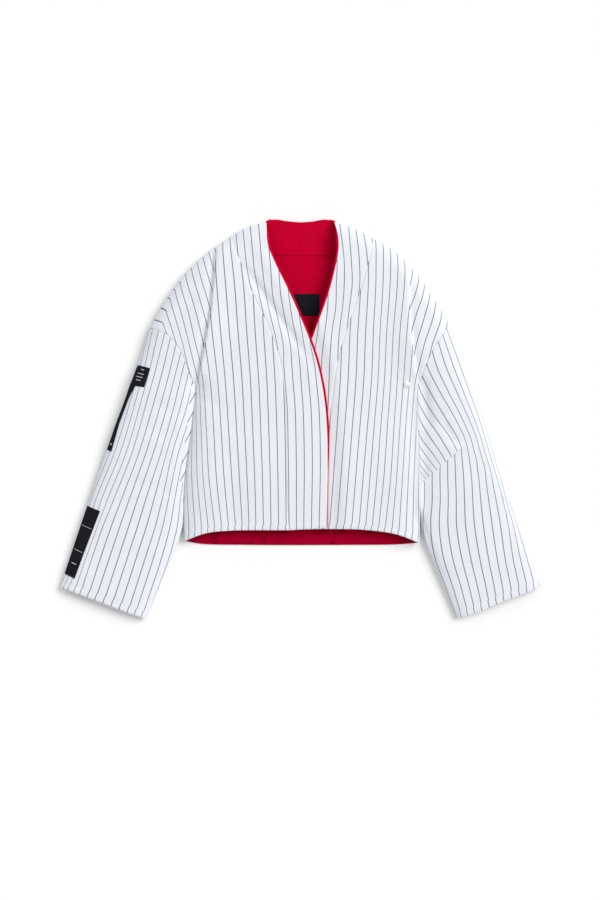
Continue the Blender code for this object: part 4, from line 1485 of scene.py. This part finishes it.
def red_finish(name, colours, tone):
    """Smooth red cotton, matt and a little uneven, darkened towards the hem by painted shadow, with
    patches of painted crease shade there.
    """
    made, tree, shader = new_finish(name, roughness=0.85, specular=0.02)
    where, across, along = map_parts(tree, "cloth")
    soft = noise(tree, where, "red_shade")
    base = blend(tree, soft, toned(colours.red, tone), colours.red[:])
    # Patches of painted crease shade: the noise chooses where the red turns darker
    creases = ramp(tree, noise(tree, where, "red_painted_crease_shade"), 0.5, 0.62, 0.0, 0.7)
    # Red of the painted shadow at the hem, and the darker red of its painted crease shade
    painted_shadow_red, painted_crease_shade_red = toned(colours.red, RED_PAINTED_SHADOW_TONE), toned(colours.red, RED_PAINTED_CREASE_SHADE_TONE)
    # Painted shadow: the red darkens from these heights down to the hem, standing in for the front
    # hem's cast shadow
    hem = ramp(tree, along, *RED_HEM_PAINTED_SHADOW, 1.0, 0.0)
    base = blend(tree, hem, base, blend(tree, creases, painted_shadow_red, painted_crease_shade_red))
    tree.links.new(base, shader.inputs["Base Color"])
    woven = maths(tree, "MULTIPLY", weave(tree, across, along, LINING_THREAD), RED_WEAVE)
    bump(tree, shader, maths(tree, "ADD", woven, noise(tree, where, "red_pucker")), "red")
    return made


def plain_finish(name, colour, roughness, sheen, thread):
    """A woven tape or thread of one colour."""
    made, tree, shader = new_finish(name, roughness, sheen, specular=0.05)
    where = object_place(tree)
    parts = add_node(tree, "ShaderNodeSeparateXYZ")
    tree.links.new(where, parts.inputs[0])
    fine = noise(tree, where, "tape_fibres")
    light = [min(1.0, part * 1.5 + 0.004) for part in colour[:3]] + [1.0]
    tree.links.new(blend(tree, fine, list(colour), light), shader.inputs["Base Color"])
    pattern = weave(tree, parts.outputs[0], parts.outputs[1], thread)
    woven = maths(tree, "MULTIPLY", pattern, TAPE_WEAVE)
    bump(tree, shader, maths(tree, "ADD", woven, fine), "tape")
    return made


def metal_finish(name, colours):
    """Bright nickel with fine wear."""
    made, tree, shader = new_finish(name, roughness=0.25, metallic=1.0)
    wear = noise(tree, object_place(tree), "metal_wear")
    worn = blend(tree, wear, toned(colours.metal, 0.75), colours.metal[:])
    tree.links.new(worn, shader.inputs["Base Color"])
    tree.links.new(ramp(tree, wear, 0.3, 0.75, 0.3, 0.5), shader.inputs["Roughness"])
    return made


def floor_finish(name, colours):
    """Matt pale studio floor."""
    made, tree, shader = new_finish(name, roughness=0.9, specular=0.0)
    soft = noise(tree, object_place(tree), "floor_shade")
    base = blend(tree, soft, toned(colours.floor, 0.995), colours.floor[:])
    tree.links.new(base, shader.inputs["Base Color"])
    return made


def finish_named(name, make, *values):
    """A finish that is made once and then used again."""
    return bpy.data.materials.get(name) or make(name, *values)


def black_tape(colours):
    """The woven tape of the label and the patches."""
    return finish_named("black_tape", plain_finish, colours.tape[:], 0.7, 0.0, TAPE_THREAD)


def white_thread():
    """The sewing thread of the striped cloth."""
    return finish_named("white_thread", plain_finish, SEWING_WHITE, 0.6, 0.1, SEWING_THREAD)


def work_basket(context):
    """What each step starts with: the sizes, the colours, both cloth finishes and one stitch."""
    sizes, colours = context.scene.jacket_sizes, context.scene.jacket_colours
    finishes = [finish_named("pinstripe_cotton", striped_finish, sizes, colours),
                finish_named("red_cotton", red_finish, colours, RED_COTTON_TONE)]
    return sizes, colours, finishes, stitch_shape()


# Sizes and colours that a user may change

def length_property(name, description, default):
    """A length in metres that a user may change."""
    return bpy.props.FloatProperty(name=name, description=description, default=default,
                                   min=0.0, precision=4, subtype="DISTANCE", unit="LENGTH")


def colour_property(name, description, default):
    """A colour that a user may change."""
    return bpy.props.FloatVectorProperty(name=name, description=description, default=default,
                                         size=4, min=0.0, max=1.0, subtype="COLOR")


class JacketSizes(bpy.types.PropertyGroup):
    """Thicknesses and spacings of the cloth"""
    wall: length_property("Wall", "Outer cloth, thin padding and inner cloth together", 0.003)
    lining_wall: length_property("Lining wall", "The red inner cloth on its own", 0.001)
    stripe_pitch: length_property("Stripe pitch", "From one pinstripe to the next", 0.014)
    stripe_width: length_property("Stripe width", "Width of a pinstripe", 0.0016)
    edge_width: length_property("Red edge", "Width of the rolled red edge at the neck", 0.0050)
    stitch_length: length_property("Stitch length", "From one stitch to the next", 0.0033)
    snap_radius: length_property("Snap radius", "Radius of the metal snap cap", 0.0056)


class JacketColours(bpy.types.PropertyGroup):
    """Colours of the cloth and trim"""
    cloth: colour_property("Cloth", "White of the striped cloth", (0.80, 0.828, 0.862, 1.0))
    cloth_shade: colour_property("Cloth shade", "White of its duller places",
                                 (0.75, 0.782, 0.83, 1.0))
    stripe: colour_property("Stripe", "The pinstripe", (0.095, 0.085, 0.185, 1.0))
    red: colour_property("Red", "The inner cloth", (0.61, 0.0003, 0.031, 1.0))
    tape: colour_property("Tape", "The labels and patches", (0.008, 0.0075, 0.0105, 1.0))
    metal: colour_property("Metal", "The snap", (0.92, 0.92, 0.93, 1.0))
    floor: colour_property("Floor", "The studio floor", (0.95, 0.95, 0.945, 1.0))


# Operators

class JACKET_OT_back(bpy.types.Operator):
    """Lay the striped back, its red lining and the neck label"""
    bl_idname = "jacket.back"
    bl_label = "Back and label"

    def execute(self, context):
        sizes, colours, finishes, shape = work_basket(context)
        back, back_grid = make_back(sizes, finishes)
        lining, lining_grid = make_back_lining(sizes, finishes[1])
        label = make_label(sizes, black_tape(colours))
        red_thread = finish_named("red_thread", plain_finish, SEWING_RED, 0.6, 0.1, SEWING_THREAD)
        line = moved_sideways(smooth_curve(LINING["hem"]), LINING_STITCH_IN)
        hem = make_stitches("stitches_back_hem", lining, line, shape, sizes, red_thread,
                            "red_cloth")
        return {"FINISHED"}


class JACKET_OT_fronts(bpy.types.Operator):
    """Lay both fronts with their hem stitches and the snap"""
    bl_idname = "jacket.fronts"
    bl_label = "Fronts"

    def execute(self, context):
        sizes, colours, finishes, shape = work_basket(context)
        metal = finish_named("snap_nickel", metal_finish, colours)
        for half in ("left", "right"):
            front, grid = make_front(half, sizes, finishes)
            line = moved_sideways(CURVES[half]["front_hem"], HEM_STITCH_IN * SIGN[half])
            row = make_stitches("stitches_front_hem_" + half, front, line[FRONT_STITCHED], shape,
                                sizes, white_thread(), "striped_cloth")
            if half == UNDER_HALF:
                make_snap(front, sizes, metal).name
        return {"FINISHED"}


class JACKET_OT_bands(bpy.types.Operator):
    """Lay both halves of the band, their red inner layer and the rolled red edge"""
    bl_idname = "jacket.bands"
    bl_label = "Bands and red edge"

    def execute(self, context):
        sizes, colours, finishes, shape = work_basket(context)
        edge_red = finish_named("red_edge", red_finish, colours, RED_EDGE_TONE)
        for half in ("left", "right"):
            band, front, back, whole = make_band(half, sizes, finishes)
            edge = make_edge(half, whole, sizes, edge_red)
            lining, lining_grid = make_band_lining(half, back, sizes, finishes[1])
            line = moved_sideways(front[0, BAND_STITCHED, :2], HEM_STITCH_IN * SIGN[half])
            row = make_stitches("stitches_band_hem_" + half, band, line, shape, sizes,
                                white_thread(), "striped_cloth")
        return {"FINISHED"}


class JACKET_OT_sleeves(bpy.types.Operator):
    """Lay both sleeves with their cuff stitches and the patches of the right one"""
    bl_idname = "jacket.sleeves"
    bl_label = "Sleeves and patches"

    def execute(self, context):
        sizes, colours, finishes, shape = work_basket(context)
        tape = black_tape(colours)
        pale = finish_named("pale_print", plain_finish, PRINT_GREY, 0.6, 0.0, PRINT_THREAD)
        for half in ("left", "right"):
            sleeve, rings = make_sleeve(half, sizes, finishes)
            line = moved_sideways(CURVES[half]["cuff"], CUFF_STITCH_IN * SIGN[half])
            row = make_stitches("stitches_cuff_" + half, sleeve, line[CUFF_STITCHED], shape,
                                sizes, white_thread(), "striped_cloth")
            extra = [row.name]
            if half == "right":
                extra += [make_patch(name, sleeve, tape).name for name in PATCHES]
                extra.append(make_print(sleeve, pale).name)
        return {"FINISHED"}


class JACKET_OT_stage(bpy.types.Operator):
    """Set up the pale floor, the soft studio light and the camera above the jacket"""
    bl_idname = "jacket.stage"
    bl_label = "Stage"

    def execute(self, context):
        start_clean()
        bpy.ops.mesh.primitive_plane_add(size=FLOOR_SIZE)
        floor = context.object
        floor.name = floor.data.name = "studio_floor"
        floor.data.materials.append(floor_finish("studio_floor", context.scene.jacket_colours))
        world = bpy.data.worlds.new("studio")
        world.use_nodes = True
        light = world.node_tree.nodes["Background"]
        light.inputs["Color"].default_value = WORLD_COLOUR
        light.inputs["Strength"].default_value = WORLD_STRENGTH
        context.scene.world = world
        bpy.ops.object.light_add(type="SUN", location=KEY_PLACE)
        key = context.object
        key.name = "key_light"
        key.data.angle = math.radians(KEY_ANGLE)
        key.data.energy = KEY_STRENGTH
        key.rotation_euler = (-Vector(KEY_PLACE)).to_track_quat("-Z", "Y").to_euler()
        bpy.ops.object.camera_add(location=CAMERA_PLACE, rotation=(0.0, 0.0, 0.0))
        camera = context.object
        camera.name = "camera"
        camera.data.lens = CAMERA_LENS
        camera.data.sensor_width = SENSOR
        camera.data.clip_end = CAMERA_REACH
        context.scene.camera = camera
        context.scene.view_settings.view_transform = "Standard"
        return {"FINISHED"}


class JACKET_PT_panel(bpy.types.Panel):
    """Sizes, colours and steps of the jacket"""
    bl_idname = "JACKET_PT_panel"
    bl_label = "Reversible jacket"
    bl_space_type = "VIEW_3D"
    bl_region_type = "UI"
    bl_category = "Jacket"

    def draw(self, context):
        for group in (context.scene.jacket_sizes, context.scene.jacket_colours):
            for name in group.__annotations__:
                self.layout.prop(group, name)
        for step in STEPS:
            self.layout.operator(step.bl_idname)


STEPS = (JACKET_OT_stage, JACKET_OT_back, JACKET_OT_fronts, JACKET_OT_bands, JACKET_OT_sleeves)
CLASSES = (JacketSizes, JacketColours, JACKET_PT_panel) + STEPS


def register():
    """Make the sizes, colours, steps and panel known to Blender."""
    for each in CLASSES:
        bpy.utils.register_class(each)
    bpy.types.Scene.jacket_sizes = bpy.props.PointerProperty(type=JacketSizes)
    bpy.types.Scene.jacket_colours = bpy.props.PointerProperty(type=JacketColours)


def unregister():
    """Take them out again."""
    del bpy.types.Scene.jacket_sizes
    del bpy.types.Scene.jacket_colours
    for each in reversed(CLASSES):
        bpy.utils.unregister_class(each)


def main():
    """Lay the whole jacket."""
    register()
    bpy.ops.jacket.stage()
    bpy.ops.jacket.back()
    bpy.ops.jacket.fronts()
    bpy.ops.jacket.bands()
    bpy.ops.jacket.sleeves()


if __name__ == "__main__":
    main()
